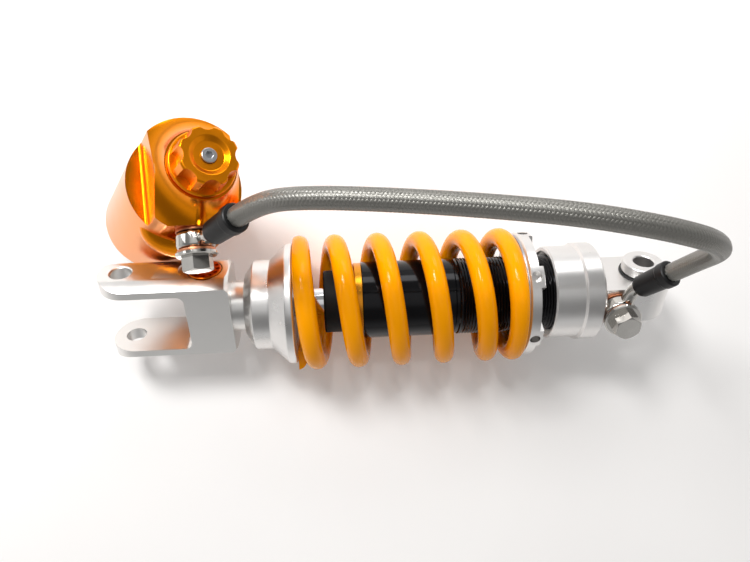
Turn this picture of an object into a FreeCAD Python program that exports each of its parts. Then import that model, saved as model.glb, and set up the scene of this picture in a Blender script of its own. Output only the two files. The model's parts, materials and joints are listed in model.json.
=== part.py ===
import FreeCAD, Part
import Sketcher
import math
import os
import re

# Coil-over damper with a remote gas reservoir, lying on its spring.
# X runs along the damper from the clevis to the eye, Z is up, the origin is the eye's centre.

os.makedirs("parts", exist_ok=True)
doc = FreeCAD.newDocument("coil_over_damper")
sheet = doc.addObject("Spreadsheet::Sheet", "Sizes")

# Lengths in millimetres and angles in degrees; a radius is named so.
sizes = {
    # whole damper
    "eye_to_eye": 265,
    "bolt_turn": 35,
    "fit_gap": 0.05,
    "soft_gap": 0.3,
    # clevis, measured from its bolt axis
    "clevis_radius": 24,
    "clevis_half": 13.6,
    "clevis_end": 52.7,
    "clevis_chamfer": 1.6,
    "ear_tip": 11,
    "ear_flat": 23,
    "ear_flat_place": 3.5,
    "ear_flat_radius": 14,
    "slot_half": 16,
    "slot_root": 31,
    "slot_corner": 3.5,
    "bolt_hole_radius": 5.1,
    "bolt_hole_chamfer": 0.6,
    "neck_radius": 12.7,
    "neck_length": 6.5,
    "spigot_radius": 10.5,
    # rebound adjuster in the clevis
    "wheel_place": 40.7,
    "pocket_floor": 22.9,
    "pocket_half": 8,
    "pocket_place": 36,
    "wheel_radius": 8.3,
    "wheel_thick": 3.6,
    "wheel_seat": 19.7,
    "wheel_seat_radius": 8.7,
    "wheel_holes": 12,
    "wheel_hole_radius": 0.9,
    "adjuster_shaft_radius": 3,
    "adjuster_shaft_reach": 23.6,
    "adjuster_pin_radius": 1.5,
    "adjuster_rod_radius": 2.4,
    # spring perch
    "perch_length": 25,
    "perch_floor": 3.8,
    "perch_nose_radius": 16,
    "perch_collar_radius": 23,
    "perch_collar_start": 4.6,
    "perch_collar_end": 12.8,
    "perch_cone_end": 21.1,
    "perch_flange_radius": 31,
    "perch_bell_depth": 6.4,
    "perch_bell_radius": 21.3,
    "perch_well_radius": 16.6,
    "edge_chamfer": 0.8,
    # spring
    "wire": 10,
    "spring_radius": 29.75,
    "spring_turns": 6.19,
    "end_pitch": 5,
    "end_turns": 1.35,
    "perch_end_ground": 5.7,
    "seat_end_ground": 4,
    "spring_start_angle": 180,
    # rod and piston
    "rod_radius": 7,
    "rod_bore_radius": 2.6,
    "rod_foot_radius": 5.5,
    "rod_foot": 18.5,
    "rod_nose_radius": 4.5,
    "rod_nose": 24,
    "piston_clearance": 2,
    "piston_length": 13.8,
    "piston_gap": 0.4,
    "band_width": 8,
    "band_thick": 1.5,
    "shim_thick": 1.2,
    "shim_radius": 12,
    "nut_length": 6.6,
    "nut_width": 13,
    "port_radius": 1.5,
    "port_circle": 9.5,
    "port_count": 6,
    # body tube and seal head
    "tube_left": 147,
    "tube_right": 38,
    "tube_radius": 19.8,
    "tube_wall": 2.8,
    "thread_length": 62.5,
    "thread_relief": 0.6,
    "head_flange": 4.2,
    "head_flange_radius": 19.4,
    "head_insert": 19,
    "wiper_depth": 4.6,
    "wiper_radius": 10,
    "seal_start": 7.5,
    "seal_length": 5.5,
    "seal_radius": 9,
    "bush_length": 9,
    "ring_groove": 1.8,
    "ring_groove_place": 14,
    "ring_groove_depth": 1.4,
    "stop_washer_thick": 0.8,
    "stop_length": 14.4,
    "stop_radius": 16,
    "stop_bore_gap": 0.4,
    # top cap and eye block
    "cap_left": 51.3,
    "cap_right": 26.2,
    "cap_radius": 25.5,
    "cap_waist_radius": 24.2,
    "cap_waist": 14.7,
    "cap_mouth_radius": 21.9,
    "cap_mouth": 1.8,
    "block_half_wide": 15.3,
    "block_half_thick": 10.3,
    "oil_way_radius": 2.5,
    # bearing in the eye
    "race_radius": 11,
    "race_half": 3.5,
    "ball_radius": 9,
    "ball_half": 5,
    "ball_bore_radius": 6,
    "circlip_thick": 1.2,
    "circlip_depth": 0.9,
    "circlip_inner_radius": 9.7,
    "eye_seal_radius": 11.2,
    "eye_seal_lip": 0.8,
    "spacer_radius": 8,
    "eye_bore_radius": 5.1,
    "eye_half_length": 17,
    "collar_radius": 10.3,
    "collar_thick": 5.6,
    # preload ring and spring seat
    "ring_right": 59.2,
    "lug_height": 2.2,
    "ring_body": 5.3,
    "ring_radius": 32,
    "lug_count": 6,
    "lug_wide": 10.8,
    "lug_turn": 75,
    "lug_hole_radius": 2.6,
    "lug_hole_depth": 6,
    "lock_screw_radius": 2,
    "seat_thick": 1,
    "seat_radius": 31,
    # banjo bolts, washers and banjos
    "banjo_place": 17.6,
    "banjo_bolt_radius": 4.9,
    "banjo_bolt_depth": 9,
    "washer_thick": 1.2,
    "washer_radius": 8.3,
    "banjo_height": 7.7,
    "banjo_bore_radius": 5.1,
    "banjo_radius": 8.6,
    "banjo_rounding": 1.8,
    "flange_radius": 9.2,
    "flange_thick": 2,
    "hex_width": 12,
    "hex_height": 6.4,
    "neck_tube_radius": 3.3,
    "neck_tube_bend": 10,
    "neck_in_sleeve": 8,
    "neck_bend_run": 2.6,
    "neck_offset": 0.6,
    "head_neck_run": 12.5,
    "head_neck_drop": 2.4,
    "cap_neck_run": 14,
    "cap_neck_side": 5,
    "sleeve_length": 20.0,
    "sleeve_radius": 5.9,
    "sleeve_nose": 2.4,
    "sleeve_collar": 5,
    "sleeve_collar_radius": 6.4,
    "hose_radius": 4.5,
    "hose_first_run": 15.3,
    "hose_last_run": 13.7,
    # reservoir, measured along its own axis from the shelf
    "reservoir_x": 226,
    "reservoir_y": 56.6,
    "reservoir_lean": 27,
    "reservoir_heading": 18,
    "reservoir_turn": -15,
    "reservoir_radius": 26,
    "reservoir_bore_radius": 23.5,
    "reservoir_depth": 69.5,
    "tube_top": 2.5,
    "head_skirt": 14,
    "head_height": 29,
    "boss_radius": 15,
    "flare_radius": 17.4,
    "flare_place": 31.4,
    "shelf_half": 17.9,
    "shelf_fillet": 1.6,
    "port_flat": 22.5,
    "port_height": 7.5,
    "port_spot_radius": 9.3,
    "lump_place": 11,
    "lump_half_height": 11.5,
    "lump_offset": 16,
    "lump_reach": 15.5,
    "lump_half_wide": 20,
    "valve_radius": 9,
    "valve_top": 20,
    "needle_radius": 3,
    "needle_bottom": 4,
    "head_ring_place": 8,
    # compression knob
    "knob_gap": 0.4,
    "knob_height": 13,
    "knob_radius": 14.2,
    "knob_top_radius": 12.4,
    "knob_recess_radius": 6.25,
    "knob_recess": 1.6,
    "knob_dish": 2.0,
    "knob_sink": 1.6,
    "knob_skirt": 2.2,
    "grip_count": 8,
    "grip_radius": 4.4,
    "grip_circle": 14.9,
    "knob_screw_radius": 3.25,
    "knob_screw_head": 2.6,
    "knob_screw_shank": 2,
    "knob_screw_length": 9,
    # gas side of the reservoir
    "float_top": 30,
    "float_length": 14,
    "float_wall": 4,
    "float_ring": 3,
    "float_ring_depth": 2,
    "end_cap_place": 60,
    "end_cap_thick": 4.2,
    "end_clip": 1.3,
    "end_clip_depth": 0.9,
    "end_clip_inner_radius": 20.5,
    "gas_valve_radius": 4,
    "gas_valve_length": 7,
    "gas_cap_radius": 4.6,
    "gas_cap_length": 4,
}
for row, (alias, value) in enumerate(sizes.items(), 1):
    sheet.set(f"A{row}", alias)
    sheet.set(f"B{row}", str(value))
    sheet.setAlias(f"B{row}", alias)
doc.recompute()

# Stations along the damper, as distances from the eye.
clevis_right = "(eye_to_eye - clevis_end)"
perch_left = f"({clevis_right} - neck_length)"
perch_right = f"({perch_left} - perch_length)"
rod_shoulder = f"({perch_left} - perch_floor)"
piston_shoulder = "(tube_left - head_insert - piston_clearance)"
rod_reach = f"({rod_shoulder} - {piston_shoulder})"
ring_left = "(ring_right + lug_height + ring_body)"
spring_right = f"({ring_left} + seat_thick)"
head_left = "(tube_left + head_flange)"
tube_bore = "(tube_radius - tube_wall)"
spring_outside = "(spring_radius + wire / 2)"

pieces = []


def size(name):
    return float(sheet.get(name))


def linked(text):
    """Point every size named in an expression at the sheet."""

    def named(word):
        return f"Sizes.{word[0]}" if word[0] in sizes else word[0]

    return re.sub(r"[a-z][a-z_]*", named, str(text))


def bind(item, **values):
    for name, text in values.items():
        item.setExpression(name, linked(text))
    return item


def spot(x="0", y="0", z="0", yaw="0", pitch="0", roll="0"):
    return f"placement(vector({x}; {y}; {z}); rotation({yaw}; {pitch}; {roll}))"


def piece(item, label, place=None):
    item.Label = label
    if place:
        item.setExpression("Placement", linked(place))
    pieces.append(item)
    return item


def turned(name, outline):
    """A body turned about its own X axis from the (along, radius) corners of its half section."""
    body = doc.addObject("PartDesign::Body", name)
    sketch = body.newObject("Sketcher::SketchObject", name + "_section")
    plane = next(item for item in body.Origin.OriginFeatures if item.Role == "XY_Plane")
    sketch.AttachmentSupport = [(plane, "")]
    sketch.MapMode = "FlatFace"
    corners = len(outline)
    rough = [
        FreeCAD.Vector(20 + 5 * math.cos(angle), 20 + 5 * math.sin(angle), 0)
        for angle in [2 * math.pi * i / corners for i in range(corners)]
    ]
    for i in range(corners):
        sketch.addGeometry(Part.LineSegment(rough[i], rough[(i + 1) % corners]), False)
    for i in range(corners):
        sketch.addConstraint(Sketcher.Constraint("Coincident", i, 2, (i + 1) % corners, 1))
    for i, (along, radius) in enumerate(outline):
        for kind, text, start in (("DistanceX", along, rough[i].x), ("DistanceY", radius, rough[i].y)):
            index = sketch.addConstraint(Sketcher.Constraint(kind, -1, 1, i, 1, start))
            sketch.setExpression(f"Constraints[{index}]", linked(text))
    turn = body.newObject("PartDesign::Revolution", name + "_turn")
    turn.Profile = sketch
    turn.ReferenceAxis = (sketch, ["H_Axis"])
    turn.Angle = 360
    return body


def cylinder(name, axis, radius, length, x="0", y="0", z="0"):
    """A cylinder that starts at a point and runs along +X, +Y or +Z."""
    pitch = "90" if axis == "X" else "0"
    roll = "-90" if axis == "Y" else "0"
    item = doc.addObject("Part::Cylinder", name)
    return bind(item, Radius=radius, Height=length, Placement=spot(x, y, z, "0", pitch, roll))


def box(name, x_from, x_to, y_from, y_to, z_from, z_to):
    item = doc.addObject("Part::Box", name)
    bind(item, Length=f"({x_to}) - ({x_from})", Width=f"({y_to}) - ({y_from})")
    bind(item, Height=f"({z_to}) - ({z_from})")
    return bind(item, Placement=spot(x_from, y_from, z_from))


def fused(name, *items):
    item = doc.addObject("Part::MultiFuse", name)
    item.Shapes = list(items)
    item.Refine = True
    return item


def shared(name, *items):
    item = doc.addObject("Part::MultiCommon", name)
    item.Shapes = list(items)
    item.Refine = True
    return item


def cut(name, base, *tools):
    item = doc.addObject("Part::Cut", name)
    item.Base = base
    item.Tool = tools[0] if len(tools) == 1 else fused(name + "_tools", *tools)
    item.Refine = True
    return item


def hexagon(name, width, height, place):
    """A hexagonal bar of a given width across flats, along the Z axis of its place."""
    item = doc.addObject("Part::Prism", name)
    item.Polygon = 6
    return bind(item, Circumradius=f"({width}) / 2 / cos(30)", Height=height, Placement=place)


# The clevis frame: X toward the eye from the bolt axis, Y along the bolt.
clevis_frame = spot("-eye_to_eye", roll="bolt_turn")
clevis_full = "(clevis_end + neck_length + perch_floor)"
blank = turned(
    "clevis_blank",
    [
        ("0", "0"),
        ("0", "clevis_radius"),
        ("ear_tip + clevis_end - clevis_chamfer", "clevis_radius"),
        ("ear_tip + clevis_end", "clevis_radius - clevis_chamfer"),
        ("ear_tip + clevis_end", "neck_radius"),
        ("ear_tip + clevis_end + neck_length", "neck_radius"),
        ("ear_tip + clevis_end + neck_length", "spigot_radius"),
        (f"ear_tip + {clevis_full}", "spigot_radius"),
        (f"ear_tip + {clevis_full}", "0"),
    ],
)
bind(blank, Placement=spot("-ear_tip"))
round_at = "(clevis_half - ear_tip)"
wide = "(clevis_radius + 1)"
slab = fused(
    "clevis_slab",
    box("clevis_plate", round_at, f"{clevis_full} + 1", f"-{wide}", wide, "-clevis_half", "clevis_half"),
    cylinder("clevis_tip", "Y", "clevis_half", f"2 * {wide}", round_at, f"-{wide}"),
)
slot_from = "(-ear_tip - 1)"
slot_to = "(slot_root - slot_corner)"
slot_in = "(slot_half - slot_corner)"
deep = "(clevis_half + 1)"
tools = [
    box("slot_wide", slot_from, slot_to, "-slot_half", "slot_half", f"-{deep}", deep),
    box("slot_narrow", slot_from, "slot_root", f"-{slot_in}", slot_in, f"-{deep}", deep),
]
for side, sign in (("upper", ""), ("lower", "-")):
    slot_at = (slot_to, f"{sign}{slot_in}", f"-{deep}")
    tools.append(cylinder(f"slot_{side}", "Z", "slot_corner", f"2 * {deep}", *slot_at))
    inner, outer = ("ear_flat", wide) if side == "upper" else (f"-{wide}", "-ear_flat")
    tools.append(box(f"ear_face_{side}", slot_from, "ear_flat_place", inner, outer, f"-{deep}", deep))
    reach = f"{wide} - ear_flat"
    tools.append(cylinder(f"ear_round_{side}", "Y", "ear_flat_radius", reach, "ear_flat_place", inner))
    cone = doc.addObject("Part::Cone", f"bolt_chamfer_{side}")
    roll = "-90" if side == "upper" else "90"
    start = f"{sign}(ear_flat - bolt_hole_chamfer)"
    rim = "bolt_hole_radius + 2 * bolt_hole_chamfer"
    bind(cone, Radius1="bolt_hole_radius", Radius2=rim, Height="2 * bolt_hole_chamfer")
    bind(cone, Placement=spot("0", start, "0", "0", "0", roll))
    tools.append(cone)
pocket_to = "clevis_end + 0.01"
foot_from = f"{clevis_full} - rod_foot - 0.4"
adjuster_run = f"{clevis_full} - wheel_place"
tools += [
    cylinder("bolt_hole", "Y", "bolt_hole_radius", f"2 * {wide}", "0", f"-{wide}"),
    cylinder("pocket_end", "Y", "pocket_half", "3", "pocket_place", "pocket_floor"),
    box("pocket_run", "pocket_place", pocket_to, "pocket_floor", wide, "-pocket_half", "pocket_half"),
    cylinder("wheel_seat_bore", "Y", "wheel_seat_radius", "6", "wheel_place", "wheel_seat"),
    cylinder("shaft_bore", "Y", "adjuster_shaft_radius + fit_gap", "wheel_seat + 4.1", "wheel_place", "-4"),
    cylinder("foot_bore", "X", "rod_foot_radius + fit_gap", "rod_foot + 0.5", foot_from),
    cylinder("adjuster_bore", "X", "adjuster_rod_radius + 0.2", adjuster_run, "wheel_place"),
]
clevis = cut("clevis_cut", shared("clevis_outside", blank, slab), *tools)
piece(clevis, "lower_clevis", clevis_frame)

# Rebound adjuster: wheel, cross shaft and the rod that runs up inside the damper rod.
wheel_frame = clevis_frame + " * " + spot("wheel_place", "wheel_seat + 0.1", "0", "90", "0", "0")
wheel = turned(
    "wheel_disc",
    [
        ("0", "adjuster_pin_radius + fit_gap"),
        ("0", "wheel_radius"),
        ("wheel_thick - 0.5", "wheel_radius"),
        ("wheel_thick", "wheel_radius - 0.5"),
        ("wheel_thick", "adjuster_pin_radius + fit_gap"),
    ],
)


def wheel_hole(name, angle):
    turn = spot("0", "0", "0", "0", "0", str(angle))
    item = doc.addObject("Part::Cylinder", name)
    bind(item, Radius="wheel_hole_radius", Height="1.4")
    place = spot("wheel_thick - 1.2", "wheel_radius - 1.9", "0", "0", "90", "0")
    return bind(item, Placement=turn + " * " + place)


wheel_count = int(size("wheel_holes"))
wheel_step = 360 / wheel_count
wheel_tools = [wheel_hole(f"wheel_hole_{i}", wheel_step * i) for i in range(wheel_count)]
wheel_cut = cut("wheel_drilled", wheel, *wheel_tools)
piece(wheel_cut, "rebound_wheel", wheel_frame)
shaft = turned(
    "shaft_turning",
    [
        ("0", "0"),
        ("0", "adjuster_shaft_radius - 0.4"),
        ("0.4", "adjuster_shaft_radius"),
        ("adjuster_shaft_reach", "adjuster_shaft_radius"),
        ("adjuster_shaft_reach", "adjuster_pin_radius"),
        ("adjuster_shaft_reach + wheel_thick", "adjuster_pin_radius"),
        ("adjuster_shaft_reach + wheel_thick", "0"),
    ],
)
shaft_place = "wheel_seat + 0.1 - adjuster_shaft_reach"
piece(shaft, "rebound_shaft", clevis_frame + " * " + spot("wheel_place", shaft_place, "0", "90", "0", "0"))
adjuster_left = "(eye_to_eye - wheel_place - adjuster_shaft_radius - 0.3)"
adjuster_right = f"({piston_shoulder} - rod_nose + 1)"
adjuster = turned(
    "adjuster_turning",
    [
        ("0", "0"),
        ("0", "adjuster_rod_radius"),
        (f"{adjuster_left} - {adjuster_right} - 6", "adjuster_rod_radius"),
        (f"{adjuster_left} - {adjuster_right}", "0.6"),
        (f"{adjuster_left} - {adjuster_right}", "0"),
    ],
)
piece(adjuster, "rebound_rod", spot(f"-{adjuster_left}"))

# Spring perch with its well for the bump stop.
perch = turned(
    "perch_turning",
    [
        ("0", "perch_nose_radius"),
        ("perch_collar_start", "perch_collar_radius"),
        ("perch_collar_end", "perch_collar_radius"),
        ("perch_cone_end", "perch_flange_radius - 0.2"),
        ("perch_length - edge_chamfer", "perch_flange_radius"),
        ("perch_length", "perch_flange_radius - edge_chamfer"),
        ("perch_length", "perch_bell_radius"),
        ("perch_length - perch_bell_depth", "perch_bell_radius"),
        ("perch_length - perch_bell_depth", "perch_well_radius"),
        ("perch_floor", "perch_well_radius"),
        ("perch_floor", "spigot_radius + fit_gap"),
        ("0", "spigot_radius + fit_gap"),
    ],
)
piece(perch, "spring_perch", spot(f"-{perch_left}"))

# Damper rod, piston and what is bolted to them.
foot_left = f"({rod_shoulder} + rod_foot)"
rod = turned(
    "rod_turning",
    [
        ("0", "rod_bore_radius"),
        ("0", "rod_foot_radius"),
        ("rod_foot", "rod_foot_radius"),
        ("rod_foot", "rod_radius"),
        (f"rod_foot + {rod_reach}", "rod_radius"),
        (f"rod_foot + {rod_reach}", "rod_nose_radius"),
        (f"rod_foot + {rod_reach} + rod_nose - 0.5", "rod_nose_radius"),
        (f"rod_foot + {rod_reach} + rod_nose", "rod_nose_radius - 0.5"),
        (f"rod_foot + {rod_reach} + rod_nose", "rod_bore_radius"),
    ],
)
piece(rod, "damper_rod", spot(f"-{foot_left}"))
nose_fit = "(rod_nose_radius + fit_gap)"
shims = []
shim_right = f"({piston_shoulder} - shim_thick - piston_length)"
for side, place in (("left", piston_shoulder), ("right", shim_right)):
    disc = cylinder(f"shim_disc_{side}", "X", "shim_radius", "shim_thick", f"-{place}")
    hole = cylinder(f"shim_hole_{side}", "X", nose_fit, "shim_thick", f"-{place}")
    shims.append(cut(f"shim_{side}", disc, hole))
shim_pair = doc.addObject("Part::Compound", "shims_together")
shim_pair.Links = shims
piece(shim_pair, "shim_stacks", spot())
piston_left = f"({piston_shoulder} - shim_thick)"
band_from = "(piston_length - band_width) / 2"
band_to = "(piston_length + band_width) / 2"
band_seat = f"({tube_bore} - fit_gap - band_thick)"
piston_out = f"({tube_bore} - piston_gap)"
piston = turned(
    "piston_turning",
    [
        ("0", nose_fit),
        ("0", f"{piston_out} - edge_chamfer"),
        ("edge_chamfer", piston_out),
        (band_from, piston_out),
        (band_from, band_seat),
        (band_to, band_seat),
        (band_to, piston_out),
        ("piston_length - edge_chamfer", piston_out),
        ("piston_length", f"{piston_out} - edge_chamfer"),
        ("piston_length", nose_fit),
    ],
)


def piston_port(name, angle):
    item = doc.addObject("Part::Cylinder", name)
    bind(item, Radius="port_radius", Height="piston_length")
    turn = spot("0", "0", "0", "0", "0", str(angle))
    return bind(item, Placement=turn + " * " + spot("0", "port_circle", "0", "0", "90", "0"))


port_count = int(size("port_count"))
ports = [piston_port(f"piston_port_{i}", 360 / port_count * i) for i in range(port_count)]
piece(cut("piston_drilled", piston, *ports), "main_piston", spot(f"-{piston_left}"))
band = turned(
    "band_turning",
    [
        ("0", f"{band_seat} + fit_gap"),
        ("0", f"{tube_bore} - fit_gap"),
        ("band_width - 0.2", f"{tube_bore} - fit_gap"),
        ("band_width - 0.2", f"{band_seat} + fit_gap"),
    ],
)
piece(band, "piston_band", spot(f"-{piston_left} + {band_from} + 0.1"))
nut_left = f"({piston_left} - piston_length - shim_thick)"
nut_place = spot(f"-{nut_left}", "0", "0", "0", "90", "0")
nut = cut(
    "nut_cut",
    hexagon("nut_bar", "nut_width", "nut_length", nut_place),
    cylinder("nut_hole", "X", nose_fit, "nut_length", f"-{nut_left}"),
)
piece(nut, "piston_nut", spot())

# Bump stop under the seal head.
washer_left = f"({head_left} + stop_washer_thick)"
stop_washer = turned(
    "stop_washer_turning",
    [
        ("0", "rod_radius + soft_gap"),
        ("0", "stop_radius"),
        ("stop_washer_thick", "stop_radius"),
        ("stop_washer_thick", "rod_radius + soft_gap"),
    ],
)
piece(stop_washer, "bump_washer", spot(f"-{washer_left}"))
stop = turned(
    "stop_turning",
    [
        ("0", "rod_radius + stop_bore_gap"),
        ("0", "stop_radius - 0.6"),
        ("0.6", "stop_radius"),
        ("stop_length - 0.6", "stop_radius"),
        ("stop_length", "stop_radius - 0.6"),
        ("stop_length", "rod_radius + stop_bore_gap"),
    ],
)
piece(stop, "bump_stop", spot(f"-({washer_left} + stop_length)"))

# Seal head with wiper, oil seal and guide bush.
insert = f"({tube_bore} - fit_gap)"
groove_floor = f"({insert} - ring_groove_depth)"
head = turned(
    "head_turning",
    [
        ("0", "wiper_radius"),
        ("0", "head_flange_radius - 0.6"),
        ("0.6", "head_flange_radius"),
        ("head_flange", "head_flange_radius"),
        ("head_flange", insert),
        ("ring_groove_place", insert),
        ("ring_groove_place", groove_floor),
        ("ring_groove_place + ring_groove", groove_floor),
        ("ring_groove_place + ring_groove", insert),
        ("head_flange + head_insert", insert),
        ("head_flange + head_insert", "seal_radius"),
        ("seal_start", "seal_radius"),
        ("seal_start", "rod_radius + soft_gap"),
        ("wiper_depth", "rod_radius + soft_gap"),
        ("wiper_depth", "wiper_radius"),
    ],
)
piece(head, "seal_head", spot(f"-{head_left}"))


def sleeve(name, label, inner, outer, length, place):
    """A plain ring, turned from its bore, outside radius and length."""
    ring = turned(name, [("0", inner), ("0", outer), (length, outer), (length, inner)])
    return piece(ring, label, place)


def seal_ring(name, label, inner, outer, place):
    """A round-section seal ring between two radii, about the X axis of its place."""
    ring = doc.addObject("Part::Torus", name)
    bind(ring, Radius1=f"(({inner}) + ({outer})) / 2", Radius2=f"(({outer}) - ({inner})) / 2")
    return piece(ring, label, place)


upright = spot("0", "0", "0", "0", "90", "0")
wiper_in = "rod_radius + soft_gap"
wiper_at = spot(f"-{head_left} + 0.3")
sleeve("wiper_turning", "rod_wiper", wiper_in, "wiper_radius - fit_gap", "wiper_depth - 0.4", wiper_at)
seal_out = "seal_radius - fit_gap"
sleeve("seal_turning", "rod_seal", wiper_in, seal_out, "seal_length", spot(f"-{head_left} + seal_start"))
bush_place = spot(f"-{head_left} + seal_start + seal_length + 0.2")
sleeve("bush_turning", "guide_bush", "rod_radius + fit_gap", seal_out, "bush_length", bush_place)
ring_at = spot(f"-{head_left} + ring_groove_place + ring_groove / 2")
seal_ring(
    "head_ring_torus",
    "seal_head_ring",
    f"{groove_floor} + 0.03",
    f"{tube_bore} - 0.03",
    ring_at + " * " + upright,
)

# Body tube, threaded over its right part.
thread_start = "(tube_left - tube_right - thread_length)"
tube = turned(
    "tube_turning",
    [
        ("0", tube_bore),
        ("0", "tube_radius - 0.3"),
        ("0.3", "tube_radius"),
        (thread_start, "tube_radius"),
        (f"{thread_start} + thread_relief", "tube_radius - thread_relief"),
        (f"{thread_start} + 3 * thread_relief", "tube_radius - thread_relief"),
        (f"{thread_start} + 4 * thread_relief", "tube_radius"),
        ("tube_left - tube_right", "tube_radius"),
        ("tube_left - tube_right", tube_bore),
    ],
)
piece(tube, "damper_tube", spot("-tube_left"))

# Preload ring with six lugs, its lock screw and the spring seat.
ring_bore = "(tube_radius + 0.25)"
ring_base = turned(
    "ring_base",
    [
        ("0", ring_bore),
        ("0", "ring_radius - edge_chamfer"),
        ("edge_chamfer", "ring_radius"),
        ("ring_body", "ring_radius"),
        ("ring_body", ring_bore),
    ],
)
ring_lugs = turned(
    "ring_lugs",
    [
        ("ring_body - 1", ring_bore),
        ("ring_body - 1", "ring_radius"),
        ("ring_body + lug_height - 0.4", "ring_radius"),
        ("ring_body + lug_height", "ring_radius - 0.4"),
        ("ring_body + lug_height", ring_bore),
    ],
)


def lug_bar(name, angle):
    item = doc.addObject("Part::Box", name)
    bind(item, Length="ring_body + lug_height + 2", Width="ring_radius + 2", Height="lug_wide")
    turn = spot("0", "0", "0", "0", "0", f"lug_turn + {angle}")
    return bind(item, Placement=turn + " * " + spot("-1", "0", "-lug_wide / 2"))


def lug_hole(name, angle):
    item = doc.addObject("Part::Cylinder", name)
    bind(item, Radius="lug_hole_radius", Height="lug_hole_depth + 2")
    turn = spot("0", "0", "0", "0", "0", f"lug_turn + {angle}")
    place = spot("(ring_body + lug_height) / 2", "ring_radius - lug_hole_depth", "0", "0", "0", "-90")
    return bind(item, Placement=turn + " * " + place)


lug_count = int(size("lug_count"))
lug_step = 360 / lug_count
lug_bars = [lug_bar(f"lug_bar_{i}", lug_step * i) for i in range(lug_count)]
lugs = shared("ring_lugs_cut", ring_lugs, fused("lug_bars", *lug_bars))
screw_turn = spot("0", "0", "0", "0", "0", "lug_turn + 210")
screw_hole = doc.addObject("Part::Cylinder", "lock_screw_hole")
bind(screw_hole, Radius="lock_screw_radius + fit_gap", Height="ring_radius")
bind(screw_hole, Placement=screw_turn + " * " + spot("ring_body / 2", "10", "0", "0", "0", "-90"))
ring_holes = [lug_hole(f"lug_hole_{i}", lug_step * i) for i in range(lug_count)]
ring_cut = cut("ring_drilled", fused("ring_whole", ring_base, lugs), screw_hole, *ring_holes)
piece(ring_cut, "preload_ring", spot(f"-{ring_left}"))
lock_place = spot(f"-{ring_left}") + " * " + screw_turn
lock_place += " * " + spot("ring_body / 2", f"{ring_bore} + 0.3", "0", "90", "0", "0")
lock_length = f"(ring_radius - {ring_bore} - 1.5)"
lock = turned(
    "lock_turning",
    [
        ("0", "0"),
        ("0", "lock_screw_radius - 0.5"),
        ("0.5", "lock_screw_radius"),
        (lock_length, "lock_screw_radius"),
        (lock_length, "lock_screw_radius / 2"),
        (f"{lock_length} - 2", "lock_screw_radius / 2"),
        (f"{lock_length} - 2", "0"),
    ],
)
piece(lock, "ring_lock_screw", lock_place)
sleeve("seat_turning", "spring_seat", ring_bore, "seat_radius", "seat_thick", spot(f"-{spring_right}"))

# Top cap and eye block, one piece, in a frame turned with the bolt axes.
eye_frame = spot(roll="bolt_turn")
cap_length = "(cap_left - cap_right)"
cap_floor = "(cap_left - tube_right)"
cap = turned(
    "cap_turning",
    [
        ("0", "cap_mouth_radius"),
        ("0", "cap_waist_radius - edge_chamfer"),
        ("edge_chamfer", "cap_waist_radius"),
        ("cap_waist", "cap_waist_radius"),
        ("cap_waist + 1", "cap_radius"),
        (f"{cap_length} - 1.2", "cap_radius"),
        (cap_length, "cap_radius - 1.2"),
        (cap_length, "0"),
        (cap_floor, "0"),
        (cap_floor, "tube_radius + fit_gap"),
        ("cap_mouth + 1.5", "tube_radius + fit_gap"),
        ("cap_mouth", "cap_mouth_radius"),
    ],
)
bind(cap, Placement=spot("-cap_left"))
thick = "block_half_thick"
block = fused(
    "cap_with_block",
    cap,
    box("block_bar", "-(cap_right + 1)", "0", f"-{thick}", thick, "-block_half_wide", "block_half_wide"),
    cylinder("block_round", "Y", "block_half_wide", f"2 * {thick}", "0", f"-{thick}"),
)
bolt_hole_floor = "block_half_wide - banjo_bolt_depth - 0.8"
oil_way_run = "tube_right - banjo_place"
oil_way_at = "block_half_wide - banjo_bolt_depth + 1.7"
eye_tools = [
    cylinder("eye_bore", "Y", "race_radius + fit_gap", f"2 * {thick}", "0", f"-{thick}"),
    cylinder("cap_bolt_hole", "Z", "banjo_bolt_radius + fit_gap", "20", "-banjo_place", "0", bolt_hole_floor),
    cylinder("oil_way", "X", "oil_way_radius", oil_way_run, "-tube_right", "0", oil_way_at),
]
clips = []
for side, sign in (("upper", ""), ("lower", "-")):
    start = "race_half" if side == "upper" else "(-race_half - circlip_thick)"
    groove = cylinder(f"clip_groove_{side}", "Y", "race_radius + circlip_depth", "circlip_thick", "0", start)
    eye_tools.append(groove)
    disc_radius = "race_radius + circlip_depth - fit_gap"
    clip_from = f"{start} + fit_gap / 2"
    disc = cylinder(f"clip_disc_{side}", "Y", disc_radius, "circlip_thick - fit_gap", "0", clip_from)
    hole = cylinder(f"clip_hole_{side}", "Y", "circlip_inner_radius", "circlip_thick", "0", start)
    gap_from = "circlip_inner_radius - 1"
    gap_deep = (start, f"{start} + circlip_thick")
    gap = box(f"clip_gap_{side}", gap_from, "race_radius + 2", *gap_deep, "-2", "2")
    clips.append(cut(f"clip_{side}", disc, hole, gap))
piece(cut("cap_bored", block, *eye_tools), "top_cap", eye_frame)
clip_pair = doc.addObject("Part::Compound", "clips_together")
clip_pair.Links = clips
piece(clip_pair, "eye_circlips", eye_frame)

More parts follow.
